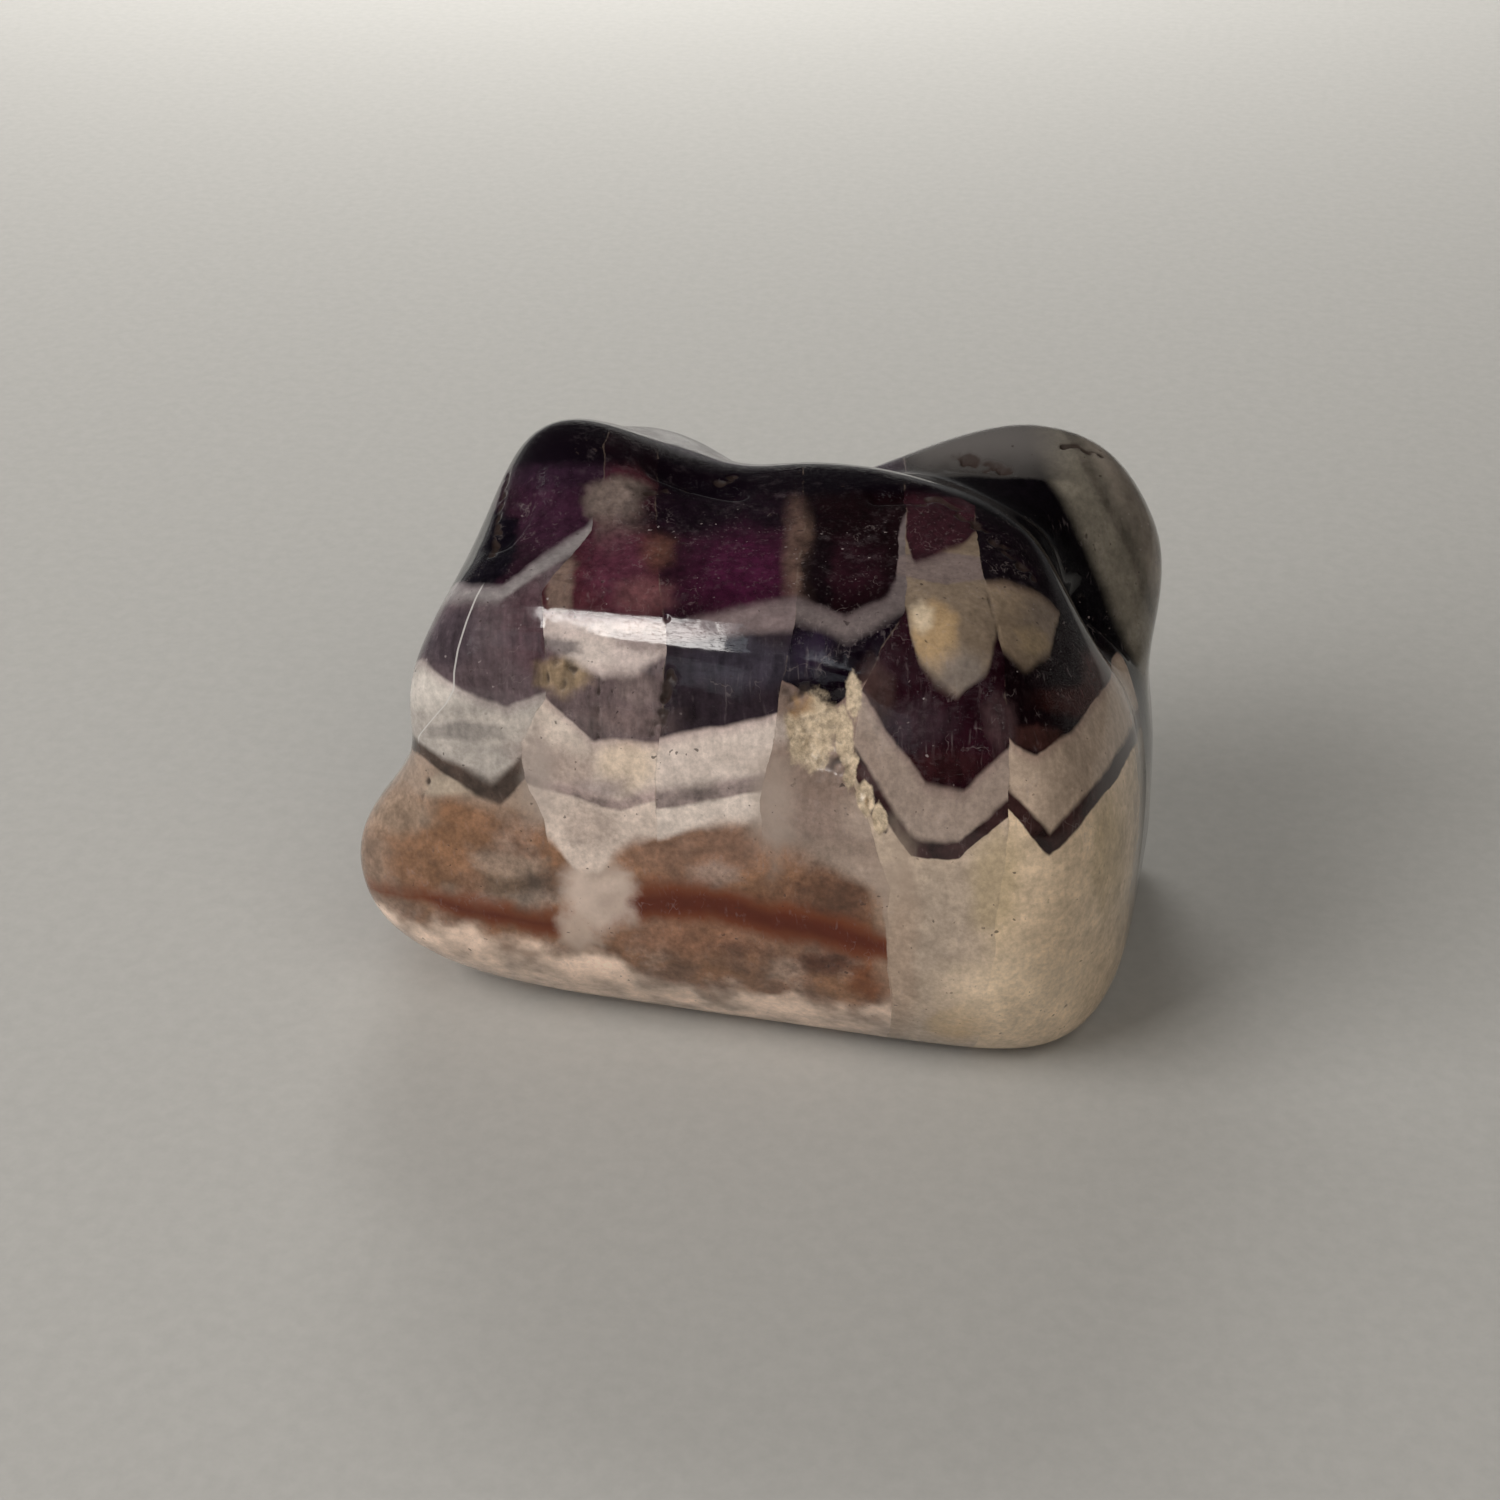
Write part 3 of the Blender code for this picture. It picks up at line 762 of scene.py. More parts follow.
# %% Patches: (across, along), reach, softness, raggedness, colour in thousandths, strength
PATCHES = {
    "first_purple": (
        ((-12.6, 25.6), (2.4, 2.6), 1, 0.5, (40, 13, 28), 0.7),
        ((-18.2, 23.2), (3.3, 3.0), 0.22, 0.25, (4, 3, 6), 0.95),
        ((-12.4, 28.2), (3.6, 1.3), 0.9, 0.5, (22, 10, 20), 0.7),
        ((-9.0, 26.1), (1.6, 1.4), 0.7, 0.5, (185, 140, 120), 0.95),
        ((-8.6, 24.6), (1.3, 0.9), 1.4, 0.75, (140, 100, 88), 0.75),
        ((-9.2, 23.9), (1.0, 1.2), 0.9, 0.5, (130, 80, 75), 0.6),
        ((-11.8, 20.6), (0.7, 2.2), 0.7, 0.5, (200, 140, 110), 0.75),
        ((-8.6, 21.8), (2.0, 2.2), 1, 0.5, (88, 24, 42), 0.7),
        ((-7.0, 20.0), (1.6, 1.1), 0.9, 0.5, (140, 58, 60), 0.7),
        ((-6.4, 22.8), (0.85, 0.9), 1.5, 0.75, (140, 62, 40), 0.6),
        ((-3.2, 25.4), (5.0, 1.7), 0.9, 0.5, (6, 3, 6), 0.9),
        ((-1.3, 21.6), (2.6, 2.1), 1.5, 0.25, (54, 8, 29), 0.85),
        ((1.8, 22.4), (0.75, 3.4), 1.2, 0.25, (130, 80, 60), 0.75),
        ((4.6, 21.6), (1.9, 1.6), 1, 0.5, (24, 6, 11), 0.7),
        ((2.9, 21.2), (0.9, 2.4), 0.8, 0.5, (4, 2, 3), 0.8),
    ),
    "pale_band": (
        ((9.4, 17.6), (1.25, 1.9), 0.5, 0.5, (400, 270, 145), 0.9),
        ((8.8, 18.6), (0.6, 0.9), 1, 0.75, (620, 500, 360), 0.75),
        ((10.6, 15.4), (1.4, 1.2), 1.2, 0.75, (230, 190, 165), 0.7),
        ((16.0, 18.4), (1.2, 1.6), 1.2, 0.5, (190, 150, 125), 0.6),
        ((-10.6, 16.6), (1.7, 0.9), 0.9, 0.75, (640, 540, 480), 0.75),
        ((-7.2, 17.2), (1.6, 0.6), 0.9, 0.75, (240, 185, 175), 0.7),
        ((-12.2, 17.0), (1.2, 0.5), 0.9, 0.5, (80, 62, 66), 0.75),
        ((10.2, 21.7), (3.2, 0.9), 0.25, 0.25, (185, 140, 130), 0.9),
        ((15.2, 17.4), (1.0, 0.8), 0.7, 0.5, (330, 240, 140), 0.6),
        ((-18.6, 20.6), (2.0, 0.9), 0.8, 0.5, (270, 240, 235), 0.7),
    ),
    "second_purple": (
        ((-13.3, 18.2), (1.7, 2.4), 1, 0.5, (80, 42, 50), 0.8),
        ((-8.0, 12.8), (2.2, 0.8), 1.4, 0.75, (170, 120, 112), 0.6),
        ((-18.4, 17.6), (1.8, 1.6), 1, 0.5, (60, 45, 55), 0.7),
        ((-11.6, 15.4), (1.4, 1.0), 1, 0.75, (330, 235, 140), 0.75),
        ((-7.4, 14.6), (1.2, 0.9), 0.8, 0.5, (200, 150, 140), 0.6),
        ((-1.0, 15.9), (3.4, 1.2), 1, 0.5, (50, 44, 60), 0.6),
        ((2.6, 16.8), (1.1, 1.2), 0.9, 0.5, (18, 10, 24), 0.7),
        ((6.0, 14.2), (1.0, 1.8), 0.8, 0.5, (60, 34, 30), 0.7),
        ((9.6, 10.2), (2.8, 0.9), 1, 0.5, (28, 8, 9), 0.8),
        ((8.6, 12.6), (1.6, 1.3), 1, 0.75, (40, 22, 28), 0.7),
        ((12.9, 12.6), (0.9, 1.5), 0.9, 0.75, (62, 34, 36), 0.7),
        ((18.4, 13.9), (2.8, 0.8), 0.8, 0.5, (44, 12, 10), 0.8),
        ((15.2, 11.8), (1.2, 0.7), 0.7, 0.5, (50, 20, 17), 0.8),
        ((19.6, 15.8), (1.1, 1.4), 0.9, 0.5, (90, 48, 44), 0.6),
    ),
    "white": (
        ((-19.6, 14.6), (2.4, 0.9), 0.9, 0.5, (620, 560, 500), 0.7),
        ((-15.6, 12.4), (1.8, 0.8), 0.9, 0.75, (560, 490, 430), 0.6),
        ((-17.6, 12.2), (2.2, 0.5), 0.9, 0.5, (210, 185, 170), 0.7),
        ((-13.4, 10.6), (1.5, 1.4), 0.8, 0.75, (280, 215, 190), 0.7),
        ((-11.3, 10.2), (1.4, 1.8), 0.8, 0.75, (360, 268, 228), 0.7),
        ((-8.0, 10.2), (1.6, 1.5), 0.9, 0.5, (680, 540, 415), 0.9),
        ((-11.0, 12.2), (1.3, 1.2), 1.4, 0.75, (660, 560, 480), 0.7),
        ((-9.6, 8.9), (1.4, 0.6), 1.4, 0.75, (280, 220, 215), 0.7),
        ((-0.6, 12.2), (2.6, 0.8), 1.4, 0.75, (720, 610, 540), 0.6),
        ((3.8, 9.8), (2.4, 1.6), 1.2, 0.75, (240, 172, 138), 0.7),
        ((5.4, 7.4), (1.4, 1.4), 1, 0.75, (400, 310, 250), 0.7),
    ),
    "lower_white": (
        ((12.8, 3.4), (1.2, 3.0), 1, 0.5, (460, 350, 200), 0.6),
        ((19.7, 5.3), (1.2, 3.0), 1, 0.5, (460, 340, 180), 0.6),
        ((11.3, -5.0), (1.6, 1.0), 0.9, 0.5, (500, 330, 150), 0.7),
        ((9.4, 0.5), (2.0, 3.4), 1, 0.5, (380, 300, 235), 0.6),
        ((14.5, -3.5), (3.6, 2.4), 1.3, 0.75, (880, 690, 490), 0.9),
        ((25.2, 7.0), (2.6, 9.0), 1, 0.25, (75, 58, 36), 0.95),
        ((-10.4, 6.6), (1.4, 1.2), 0.9, 0.75, (400, 310, 260), 0.6),
        ((-18.5, 8.9), (1.6, 0.6), 0.7, 0.75, (420, 340, 260), 0.8),
        ((4.8, 3.9), (2.6, 1.0), 1.4, 0.75, (400, 305, 245), 0.7),
        ((7.7, -1.5), (0.9, 5.0), 1, 0.5, (400, 290, 215), 0.8),
    ),
    "foot": (
        ((-20.2, 5.6), (3.4, 3.0), 1.2, 0.5, (225, 112, 56), 0.7),
        ((-24.6, 5.0), (1.9, 5.0), 0.9, 0.5, (265, 180, 130), 0.8),
        ((-22.0, 7.6), (2.2, 1.3), 1, 0.5, (290, 208, 152), 0.85),
        ((-4.4, 5.2), (4.6, 1.6), 1.2, 0.5, (245, 135, 90), 0.7),
        ((-15.0, 3.0), (2.0, 1.2), 0.9, 0.5, (125, 90, 62), 0.7),
        ((-15.4, 4.3), (2.2, 0.7), 0.8, 0.75, (330, 232, 172), 0.85),
        ((-13.4, 2.2), (1.9, 0.5), 1.4, 0.75, (360, 280, 230), 0.55),
        ((-12.7, 3.2), (1.5, 0.8), 1.3, 0.75, (85, 58, 46), 0.6),
        ((-16.9, 1.9), (1.0, 0.6), 1.3, 0.75, (300, 205, 165), 0.6),
        ((-19.3, 2.1), (1.0, 0.7), 0.9, 0.75, (330, 235, 175), 0.7),
        ((-2.9, 3.9), (1.4, 0.7), 0.9, 0.75, (330, 235, 190), 0.7),
        ((3.4, 2.3), (3.2, 1.7), 1.1, 0.5, (112, 52, 31), 0.8),
        ((-4.4, 0.2), (3.8, 1.0), 1, 0.5, (262, 128, 76), 0.8),
        ((1.2, -1.8), (1.0, 0.8), 0.9, 0.75, (330, 230, 175), 0.8),
        ((3.6, -1.3), (1.8, 0.7), 1.4, 0.75, (62, 18, 10), 0.8),
        ((-1.6, -0.6), (1.5, 0.5), 1.4, 0.75, (110, 52, 34), 0.6),
        ((6.0, -2.3), (1.2, 1.1), 0.9, 0.5, (195, 66, 26), 0.85),
        ((7.0, 0.5), (0.8, 3.5), 1, 0.5, (330, 225, 160), 0.6),
    ),
    "blob": (
        ((-9.9, 2.5), (2.0, 2.1), 0.75, 0.5, (600, 470, 392), 1),
        ((-11.2, 0.4), (1.1, 1.1), 0.9, 0.5, (500, 385, 312), 0.9),
        ((-9.6, 3.9), (0.9, 0.6), 1.3, 0.75, (330, 250, 200), 0.6),
        ((-9.0, 1.9), (0.7, 0.9), 1.3, 0.75, (420, 320, 262), 0.6),
    ),
    "milky_joints": (
        ((0.4, 7.9), (1.1, 2.6), 1.6, 0.75, (400, 318, 264), 0.7),
        ((7.2, 4.0), (0.9, 2.2), 1.6, 0.75, (400, 305, 235), 0.6),
        ((-13.2, 9.8), (0.9, 2.2), 1.6, 0.75, (420, 345, 300), 0.6),
    ),
}
print("patches:", sum(len(group) for group in PATCHES.values()))

# %% How a patch is laid
RAGGED_STEPS = (0.25, 0.5, 0.75)
ragged = {}
for amount in RAGGED_STEPS:
    ragged[amount] = gem.maths("MULTIPLY_ADD", cloud_mid, amount * 2.0, -amount)


def patch(centre, reach, softness, raggedness, strength=1.0):
    """strength inside a six-sided lump and 0 outside; raggedness is one of the steps above."""
    stretch = (1 / reach[0], 1 / reach[1], 0.0)
    start = (-centre[0] / reach[0], -centre[1] / reach[1], 0.0)
    off = gem.vector("ABSOLUTE", gem.vector("MULTIPLY_ADD", pattern_place, stretch, start))
    upright_side = gem.vector("DOT_PRODUCT", off, (1.0, 0.0, 0.0))
    slanted_side = gem.vector("DOT_PRODUCT", off, (0.5, 0.87, 0.0))
    away = gem.maths("MAXIMUM", upright_side, slanted_side)
    rim = gem.maths("ADD", away, ragged[raggedness])
    return gem.span(rim, 1.0 + softness / 2, 1.0 - softness / 2, 0.0, strength)


def with_patches(tint, name):
    """The tint of a layer with all its patches laid on it."""
    for centre, reach, softness, raggedness, colour, strength in PATCHES.get(name, ()):
        share = patch(centre, reach, softness, raggedness, strength)
        tint = gem.layer(tint, thousandths(colour), share)
    return tint


print("raggedness steps:", RAGGED_STEPS)

# %% [markdown]
# The brown foot
#
# Below the white layers the front of the stone is stained by iron: brown and rust clouds, a red clay
# seam that swells towards the right, and a whitish rim along the base. The seam follows one curve and
# has its thickness from another, which is easier to steer than noise alone.

# %% Brown, rust, red clay and the pale rim
RED_SEAM = (
    (-26, 3.0), (-20.6, 2.3), (-18.2, 1.5), (-15.5, 1.1), (-12.3, 0.7), (-9.0, 1.6), (-6.8, 2.2),
    (-3.5, 2.1), (-0.5, 1.4), (3.6, 0.5), (7.4, -0.5), (26, -2.0))
SEAM_HALF_WIDTH = (
    (-26, 0.0), (-21, 0.05), (-19, 0.40), (-13, 0.50), (-11.6, 0.20), (-9.4, 0.35), (-7.0, 0.85),
    (0, 0.85), (5.0, 0.75), (7.2, 0.4), (7.9, -0.5), (26, -1.0))
RIM_TOP = (
    (-26, 2.0), (-20, 0.9), (-18.6, 0.3), (-12.9, -1.0), (-7.1, -1.9), (-2.6, -3.1), (0.3, -3.7),
    (4.3, -4.2), (7.1, -4.0), (26, -4.0))
BROWN, RUST, FOOT_GREY = (0.195, 0.108, 0.070), (0.235, 0.120, 0.066), (0.300, 0.205, 0.155)
RED_CLAY, DEEP_CLAY = (0.150, 0.037, 0.012), (0.080, 0.010, 0.003)
RIM_WHITE = (0.800, 0.605, 0.480)

rusty = gem.span(gem.cloud(bent, 4.2, detail=3.0, roughness=0.6), 0.44, 0.62)
foot = gem.layer(BROWN, RUST, rusty)
greyish = gem.span(gem.cloud(bent, 3.0, detail=4.0, roughness=0.6), 0.50, 0.68)
foot = gem.layer(foot, FOOT_GREY, gem.product(greyish, 0.7))
foot = with_patches(foot, "foot")
foot = gem.clouded(foot, cloud_mid, 0.78, 1.26)
foot = gem.clouded(foot, cloud_fine, 0.78, 1.22)
seam_line = gem.curve(across, RED_SEAM, SPREAD)
half_width = gem.curve(across, SEAM_HALF_WIDTH, SPREAD)
above_seam = gem.maths("SUBTRACT", along, seam_line)
off_seam = gem.maths("SUBTRACT", gem.maths("ABSOLUTE", above_seam), half_width)
seam_rim = gem.maths("MULTIPLY_ADD", cloud_mid, -1.1, off_seam)
in_seam = gem.span(seam_rim, gem.span(above_seam, 0.0, 0.4, 0.05, 0.45), -0.75, 0.0, 0.94)
deep = gem.span(seam_rim, -0.45, -1.2, 0.0, 0.8)
foot = gem.layer(foot, RED_CLAY, in_seam)
foot = gem.layer(foot, DEEP_CLAY, deep)
rim_height = gem.maths("SUBTRACT", gem.curve(across, RIM_TOP, SPREAD), along)
rim_lumps = gem.cloud(bent, 2.6, detail=2.0, roughness=0.5)
rim_height = gem.maths("MULTIPLY_ADD", rim_lumps, 3.4, rim_height)
rim_white = gem.clouded(RIM_WHITE, rim_lumps, 0.55, 1.30)
rim_white = gem.clouded(rim_white, cloud_fine, 0.88, 1.12)
foot = gem.layer(foot, rim_white, gem.span(rim_height, 0.9, 2.5))
foot = with_patches(foot, "blob")
foot = gem.clouded(foot, cloud_mid, 0.90, 1.10)
print("red seam, mm thick at its widest:", 2 * max(width for _, width in SEAM_HALF_WIDTH))

# %% Stack the layers with their patches
TINTS = {
    "lower_white": (LOWER_WHITES, 0.45, cloud_mid, 0.80, 1.20),
    "thin_line": (THIN_LINES, 0.10, cloud_mid, 0.45, 1.60),
    "white": (WHITES, 0.28, growth_streaks, 0.80, 1.22),
    "second_purple": (SECOND_PURPLES, 0.12, growth_streaks, 0.50, 1.60),
    "pale_band": (PALE_BANDS, 0.30, cloud_mid, 0.82, 1.20),
    "first_purple": (FIRST_PURPLES, 0.20, growth_streaks, 0.55, 1.50),
}
SHADED = {"second_purple": 0.9, "first_purple": 0.6}
LAYER_SHADE, OUTER_GREY = (0.56, 0.46, 0.52), (0.215, 0.182, 0.150)


def stack_layer(below, name):
    """One growth layer with its patches, laid over what is below it."""
    tints, soft, noise_value, darkest, lightest = TINTS[name]
    if name in SHADED:
        short_of = gem.maths("SUBTRACT", ends[name], along)
        shade = gem.span(short_of, SHADED[name], 0.0, 0.0, 0.45)
        below = gem.layer(below, LAYER_SHADE, shade, blend="MULTIPLY")
    tint = with_patches(gem.pick(number, tints), name)
    tint = gem.clouded(tint, noise_value, darkest, lightest)
    tint = gem.clouded(tint, cloud_fine, 0.84, 1.16)
    return gem.layer(below, tint, past(name, soft))


skin = foot
for layer_name in TINTS:
    skin = stack_layer(skin, layer_name)
outer_grey = gem.clouded(OUTER_GREY, cloud_mid, 0.7, 1.3)
skin = gem.layer(skin, outer_grey, past("outer_white", 0.2))
print("nodes so far:", len(gem.tree.nodes))

# %% [markdown]
# Marks that cross the layers
#
# The tops of the front crystals are nearly black, and the rear lobe has a painted grey sheen, a painted
# reflection of the pale room behind it. Bubbles and grains show as specks, mended cracks as pale veils,
# fine growth as light needles, and the joints between crystals as light lines. A cream crust fills the
# notch between the fourth and the fifth crystal. Cracks that were pressed into the mesh are laid darker
# the deeper they are, a thin pale fibre lies on the left end, and the far right end is darkened by
# painted shade. Each mark is one more layer over the skin, with its own share.

# %% Milky joints, black tops and the lobe's painted sheen
crack = gem.node("ShaderNodeAttribute", attribute_name="crack_depth").outputs["Fac"]
in_front = gem.maths("SUBTRACT", 1.0, behind)
skin = with_patches(skin, "milky_joints")

ABOVE_BLACK, PAINTED_LOBE_SHEEN = (0.0035, 0.0020, 0.0040), (0.104, 0.094, 0.088)
BLACK_FROM, BLACK_FULL = 28.8, 29.8
hump_or_saddle = gem.span(across, -8.2, -6.0, 0.0, 2.0)
ragged_height = gem.maths("MULTIPLY_ADD", cloud_mid, 1.6, along)
top_edge = gem.maths("ADD", ragged_height, hump_or_saddle)
dark_top = gem.span(top_edge, BLACK_FROM, BLACK_FULL, 0.0, 0.92)
skin = gem.layer(skin, ABOVE_BLACK, gem.product(dark_top, in_front))

# The lobe's grey sheen is a painted reflection: it grows lighter towards the lobe's top, as the
# mirrored room would.
painted_sheen_edge = gem.maths("MULTIPLY_ADD", cloud_fine, 0.25, along)
lobe_left, lobe_right = gem.span(across, 7.0, 10.5), gem.span(across, 20.5, 16.0)
painted_sheen = gem.product(gem.span(painted_sheen_edge, 27.95, 28.30), lobe_left, lobe_right, behind)
painted_sheen_tint = gem.brighter(PAINTED_LOBE_SHEEN, gem.span(along, 27.8, 30.8, 0.45, 1.15))
skin = gem.layer(skin, painted_sheen_tint, painted_sheen)
print("black above, mm along:", BLACK_FULL)

# %% Specks, frost, needles, veils and joint lines
LIGHT_GRAIN, DARK_GRAIN = (0.420, 0.350, 0.340), (0.030, 0.020, 0.018)
FROST, NEEDLE = (0.170, 0.132, 0.140), (0.290, 0.240, 0.235)
VEIL, JOINT_LIGHT = (0.330, 0.270, 0.255), (0.200, 0.150, 0.115)
in_purple = past("second_purple", 0.1)
below_top = gem.span(top_edge, 29.0, 28.0)


def lay_where(colour, strength, *shares):
    """The skin with a colour laid over it, as much as all the shares and the strength allow."""
    return gem.layer(skin, colour, gem.product(*shares, strength))


specks = gem.cloud(place_mm, 0.30, detail=0.0)
grains, grain_places = gem.span(specks, 0.785, 0.84), gem.span(cloud_wide, 0.52, 0.62)
skin = lay_where(LIGHT_GRAIN, 0.55, grains, grain_places, in_purple, below_top)
holes, hole_places = gem.span(specks, 0.240, 0.19), gem.span(cloud_mid, 0.50, 0.60)
skin = lay_where(DARK_GRAIN, 0.7, holes, hole_places)
frost = gem.span(gem.cloud(bent, 0.9, detail=4.0, roughness=0.75), 0.50, 0.72)
frost_places = gem.span(cloud_wide, 0.42, 0.60)
skin = lay_where(FROST, 0.17, frost, frost_places, in_purple, in_front)
drawn_out = gem.vector("MULTIPLY", pattern_place, (1.0, 0.09, 1.0))
needles = gem.span(gem.cloud(drawn_out, 0.22, detail=1.0), 0.56, 0.80)
skin = lay_where(NEEDLE, 0.20, needles, gem.span(cloud_mid, 0.42, 0.62), below_top)
veil_noise = gem.cloud(bent, 3.0, detail=4.0)
veils = gem.span(gem.away_from(veil_noise, 0.5), 0.010, 0.0)
skin = lay_where(VEIL, 0.20, veils, gem.span(cloud_mid, 0.50, 0.62), below_top)
joint_rim = gem.maths("MULTIPLY_ADD", cloud_fine, 0.14, to_joint)
joint_line = gem.span(joint_rim, 0.15, 0.06)
joint_places = gem.span(cloud_mid, 0.46, 0.60)
skin = lay_where(JOINT_LIGHT, 0.40, joint_line, joint_places, gem.span(along, 2.0, 8.0))
print("nodes so far:", len(gem.tree.nodes))

# %% Darker pressed cracks, and the cream crust
CRACK_DARKENING = (0.030, 0.018, 0.014)
CRUST_CREAM, CRUST_RUST = (0.520, 0.408, 0.285), (0.330, 0.185, 0.085)
CRUST = (
    ((2.5, 12.2), (1.35, 2.0)), ((4.9, 14.2), (0.40, 1.1)), ((4.3, 11.8), (0.42, 1.7)),
    ((4.6, 9.9), (0.36, 1.1)), ((5.4, 8.5), (0.42, 0.9)), ((6.2, 7.2), (0.40, 0.8)))
# The pressed cracks are laid darker, the more so the deeper they are.
skin = gem.layer(skin, CRACK_DARKENING, gem.span(crack, 0.02, 0.14, 0.0, 0.85))
in_crust = 0.0
for centre, reach in CRUST:
    in_crust = gem.maths("MAXIMUM", in_crust, patch(centre, reach, 0.40, 0.75))
in_crust = gem.product(in_crust, in_front)
crust_tint = gem.clouded(CRUST_CREAM, cloud_fine, 0.62, 1.35)
rusty_top = patch((1.6, 13.8), (0.9, 0.7), 0.8, 0.5, 0.8)
crust_tint = gem.layer(crust_tint, CRUST_RUST, rusty_top)
skin = gem.layer(skin, crust_tint, in_crust)
print("lumps in the crust:", len(CRUST))

# %% The pale fibre and the painted shade on the right end
FIBRE_WHITE, FAR_SIDE_PAINTED_SHADE = (0.620, 0.590, 0.560), (0.20, 0.17, 0.13)
FIBRE = (
    (-12, -22.0), (11.9, -20.5), (13.1, -19.3), (13.8, -18.6), (14.6, -18.1), (15.6, -18.05),
    (16.9, -17.8), (18.5, -17.3), (19.9, -16.8), (21.0, -16.3), (38, -9.0))
straight_along = gem.vector("DOT_PRODUCT", place_mm, ALONG)
straight_across = gem.vector("DOT_PRODUCT", place_mm, ACROSS)
fibre_middle = gem.curve(straight_along, FIBRE, HEIGHTS, *SPREAD)
on_fibre = gem.span(gem.away_from(straight_across, fibre_middle), 0.065, 0.035)
lower_end, upper_end = gem.span(along, 11.3, 11.9), gem.span(along, 20.9, 20.3)
skin = lay_where(FIBRE_WHITE, 0.75, on_fibre, lower_end, upper_end, in_front)
# Painted shade: the far right end, which faces away from the window, is multiplied darker.
far_side = gem.product(gem.span(across, 22.0, 24.6), in_front)
skin = gem.layer(skin, FAR_SIDE_PAINTED_SHADE, far_side, blend="MULTIPLY")
print("nodes so far:", len(gem.tree.nodes))

# %% [markdown]
# Polish
#
# The polish is close to a mirror, with fine scratches from use and duller places in the cracks and on
# the crust. Light could also travel under the surface, as it does in milky quartz, but that blurred the
# sharp ends of the layers, so the pattern draws their softness instead. Roughness and bump come from
# noise, and the numbers that are the same all over are set on the shader itself.

# %% Roughness and bump
CRUST_MIDDLE = (4.6, -12.9, 23.2)
QUARTZ_IOR = 1.544
BEST_POLISH, WORST_POLISH = 0.05, 0.10
SCRATCH_ADDS, DULL_ADDS, FAR_SIDE_ADDS = 0.08, 0.38, 0.30
BUMP_HEIGHT = 0.00004
scratch_place = gem.vector("MULTIPLY", place_mm, (0.35, 3.0, 3.0))
scratches = gem.cloud(scratch_place, 0.30, detail=2.0)
scratch_line = gem.span(gem.away_from(scratches, 0.5), 0.012, 0.0)
dull = gem.maths("MAXIMUM", gem.span(crack, 0.01, 0.10), gem.product(in_crust, 0.5))
roughness = gem.span(cloud_mid, 0.35, 0.65, BEST_POLISH, WORST_POLISH)
roughness = gem.maths("MULTIPLY_ADD", scratch_line, SCRATCH_ADDS, roughness)
roughness = gem.maths("MULTIPLY_ADD", dull, DULL_ADDS, roughness)
roughness = gem.maths("MULTIPLY_ADD", far_side, FAR_SIDE_ADDS, roughness)
from_crust = gem.vector("DISTANCE", place_mm, CRUST_MIDDLE)
crumbly = gem.span(from_crust, 3.2, 2.0)
waves = gem.cloud(place_mm, 1.7, detail=2.0)
relief = gem.maths("MULTIPLY_ADD", scratch_line, -0.25, waves)
relief = gem.maths("MULTIPLY_ADD", gem.product(cloud_fine, crumbly), 4.0, relief)
bump = gem.node("ShaderNodeBump")
bump.inputs["Strength"].default_value = 0.35
bump.inputs["Distance"].default_value = BUMP_HEIGHT
gem.feed(bump.inputs["Height"], relief)
gem.feed(gem.shader.inputs["Base Color"], skin)
gem.feed(gem.shader.inputs["Roughness"], roughness)
gem.feed(gem.shader.inputs["Normal"], bump.outputs["Normal"])
gem.shader.inputs["IOR"].default_value = QUARTZ_IOR
gem.shader.inputs["Specular IOR Level"].default_value = 0.42
gem.shader.inputs["Subsurface Weight"].default_value = 0.0
print("roughness:", BEST_POLISH, "to", WORST_POLISH, " in cracks:", WORST_POLISH + DULL_ADDS)

# %% Put the stone on its body
stone_mesh.materials.append(stone_finish)
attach(stone, "root")
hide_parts("amethyst")
print("stone rides on root")

# %% [markdown]
# Floor and light
#
# The stone lies on matt pale paper near a window on the left. The window and a wide fill light the
# stone, and a lamp behind it brightens the paper towards the back. Three more lamps are seen only in
# the polish: a narrow one draws the bright streak on the upper front, a dim one beside it draws the
# streak's fading right end, and a wide dim one draws the soft sheen below it. A room that is brighter
# at the back left shows in the rest of the polish.

# %% Floor
FLOOR_HALF = 1.5
CORNER_SIGNS = ((-1, -1), (1, -1), (1, 1), (-1, 1))
PAPER_WHITE = (0.46, 0.447, 0.420)
floor_mesh = bpy.data.meshes.new("paper_floor")
corners = [(FLOOR_HALF * side, FLOOR_HALF * end, 0) for side, end in CORNER_SIGNS]
floor_mesh.from_pydata(corners, [], [(0, 1, 2, 3)])
floor = bpy.data.objects.new("paper_floor", floor_mesh)
bpy.context.scene.collection.objects.link(floor)
paper_finish = bpy.data.materials.new("matt_paper")
paper = Finish(paper_finish)
paper_mm = paper.brighter(paper.node("ShaderNodeTexCoord").outputs["Object"], 1 / MILLIMETRE)
pulp = paper.cloud(paper_mm, 1.1, detail=3.0, roughness=0.65)
paper.feed(paper.shader.inputs["Base Color"], paper.clouded(PAPER_WHITE, pulp, 0.965, 1.035))
paper.shader.inputs["Roughness"].default_value = 0.85
paper.shader.inputs["Specular IOR Level"].default_value = 0.2
floor_mesh.materials.append(paper_finish)
print("floor, m:", 2 * FLOOR_HALF)

# %% Six lamps: azimuth, elevation, distance, width, height, power in watts and colour
def soft_lamp(name, azimuth, elevation, distance, width, height, power, colour):
    """An area lamp that looks at the stone from the given direction; lengths in metres."""
    data = bpy.data.lights.new(name, "AREA")
    data.shape = "RECTANGLE"
    data.size = width
    data.size_y = height
    data.energy = power
    data.color = colour
    lamp = bpy.data.objects.new(name, data)
    direction = Vector(face_normal(azimuth, elevation))
    lamp.location = direction * distance + Vector((0, 0, 0.015))
    lamp.rotation_euler = (-direction).to_track_quat("-Z", "Y").to_euler()
    bpy.context.scene.collection.objects.link(lamp)
    return lamp


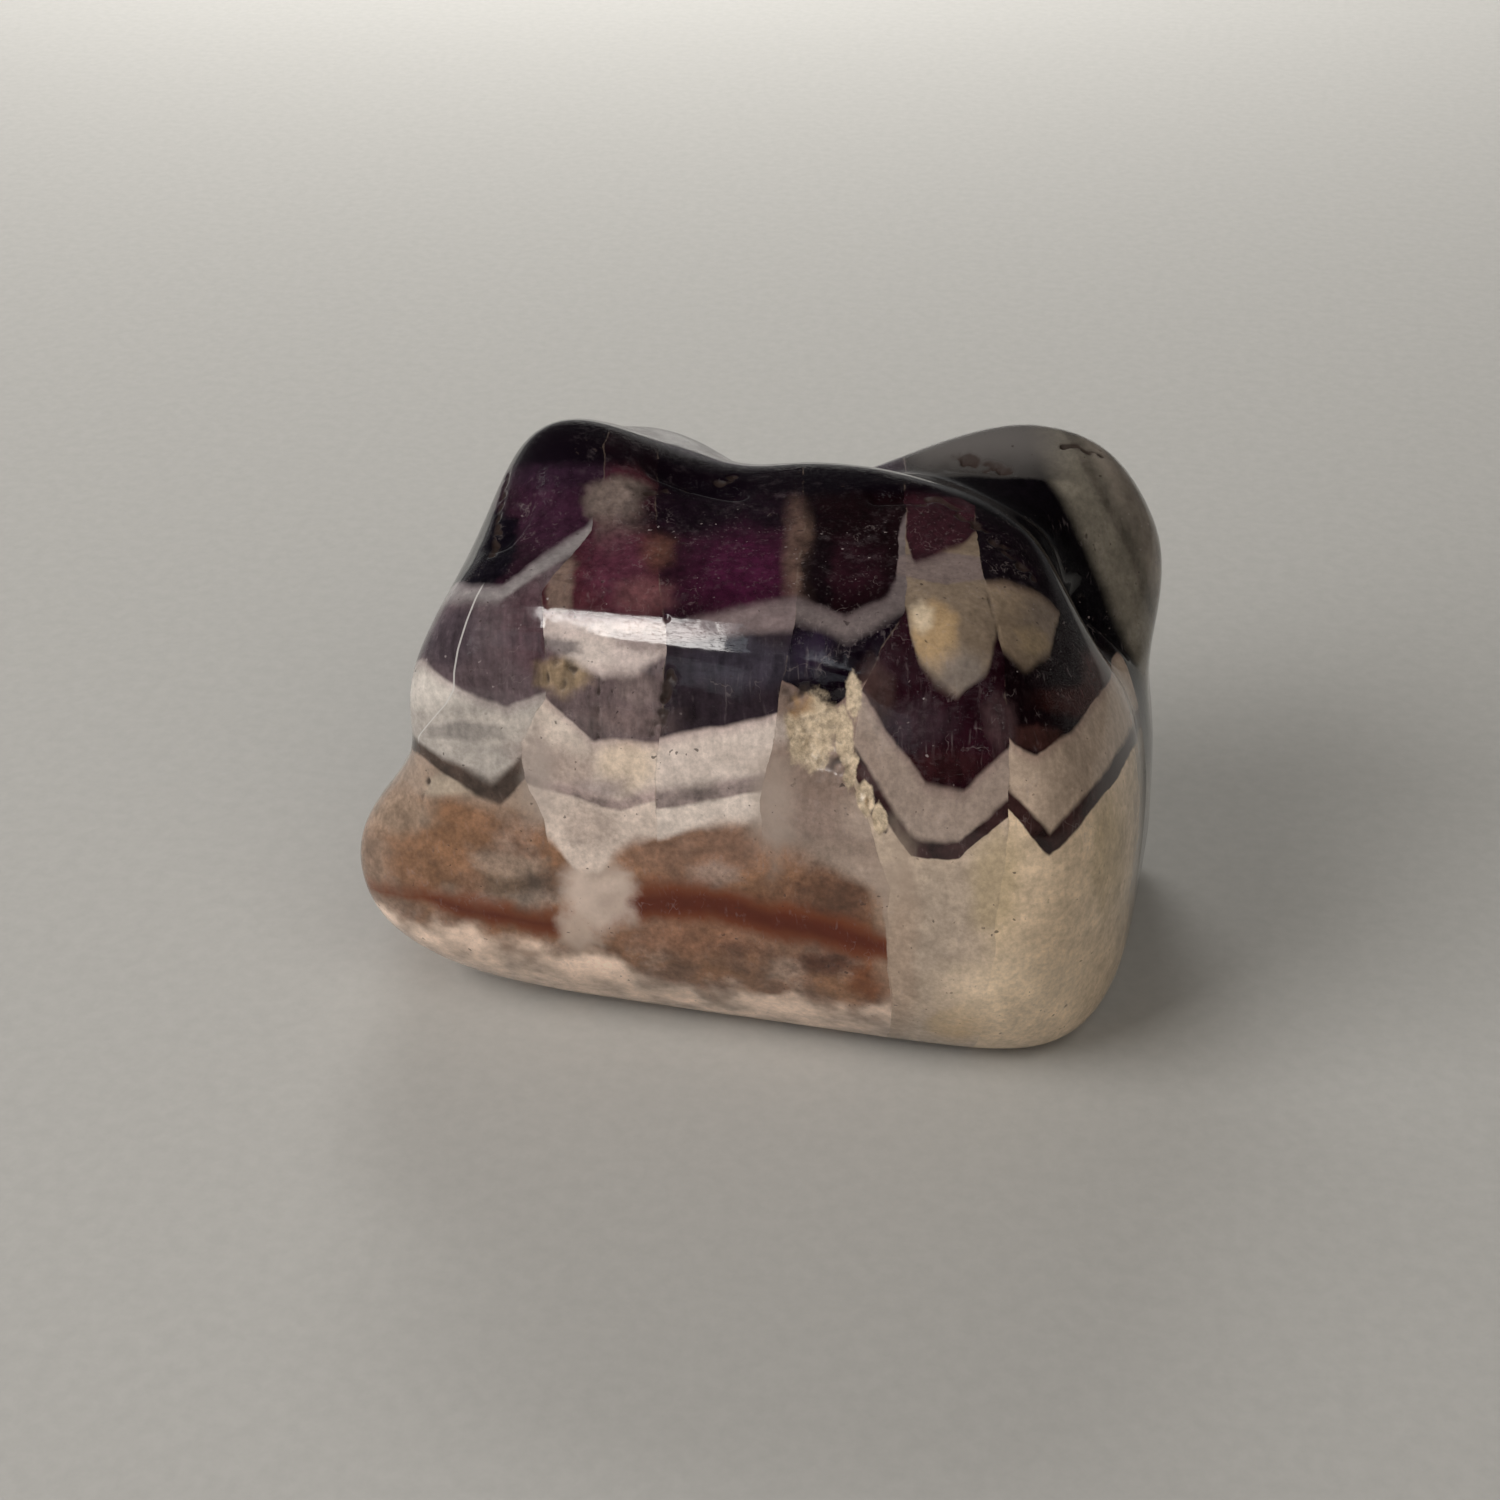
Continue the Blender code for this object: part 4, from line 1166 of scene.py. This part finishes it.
LAMPS = {
    "window": (-54, 34, 0.50, 0.32, 0.32, 2.15, (1.0, 0.992, 0.985)),
    "fill": (38, 48, 0.70, 0.50, 0.50, 1.50, (1.0, 0.955, 0.89)),
    "paper_lamp": (-163, 35, 0.46, 0.20, 0.20, 2.35, (1.0, 1.0, 0.99)),
    "streak_lamp": (-24.5, 62, 0.5, 0.070, 0.245, 0.78, (1.0, 0.97, 0.94)),
    "streak_tail": (-12.8, 64, 0.5, 0.030, 0.245, 0.040, (0.85, 0.92, 1.0)),
    "sky_panel": (-16, 34, 0.8, 0.25, 0.22, 0.08, (0.86, 0.93, 1.0)),
}
SEEN_IN_POLISH = ("streak_lamp", "streak_tail", "sky_panel")
STREAK_TURN = (math.radians(23.6), math.radians(-12.2), 0.0)
PAPER_LAMP_BACK = Vector((-0.10, -0.35, 0.9))
lamps = {name: soft_lamp(name, *numbers) for name, numbers in LAMPS.items()}
for name, lamp in lamps.items():
    lamp.visible_glossy = name in SEEN_IN_POLISH
    lamp.visible_diffuse = name not in SEEN_IN_POLISH
lamps["paper_lamp"].rotation_euler = PAPER_LAMP_BACK.to_track_quat("Z", "Y").to_euler()
lamps["streak_lamp"].rotation_euler = STREAK_TURN
lamps["streak_tail"].rotation_euler = STREAK_TURN
print("lamps:", list(lamps), " seen only in the polish:", SEEN_IN_POLISH)

# %% The room that shows in the polish
ROOM_LIGHT = ((0.0, 0.16), (0.10, 0.16), (0.24, 0.02), (1.0, 0.010))
BRIGHT_SIDE = (-0.55, 0.60, 0.0)
world = bpy.data.worlds.new("room")
room = Finish(world)
looking = room.node("ShaderNodeTexCoord").outputs["Generated"]
climb = room.node("ShaderNodeValToRGB")
while len(climb.color_ramp.elements) < len(ROOM_LIGHT):
    climb.color_ramp.elements.new(1.0)
for stop, (rise, light) in zip(climb.color_ramp.elements, ROOM_LIGHT):
    stop.position = rise
    stop.color = (light, light * 0.995, light * 0.98, 1.0)
room.feed(climb.inputs[0], room.vector("DOT_PRODUCT", looking, (0.0, 0.0, 1.0)))
room.feed(room.shader.inputs["Color"], climb.outputs[0])
towards_bright = room.vector("DOT_PRODUCT", looking, BRIGHT_SIDE)
room_strength = room.span(towards_bright, -0.1, 0.7, 0.15, 1.5, smooth=False)
room.feed(room.shader.inputs["Strength"], room_strength)
bpy.context.scene.world = world
bpy.context.scene.view_settings.view_transform = "Standard"
print("room light by height:", ROOM_LIGHT)
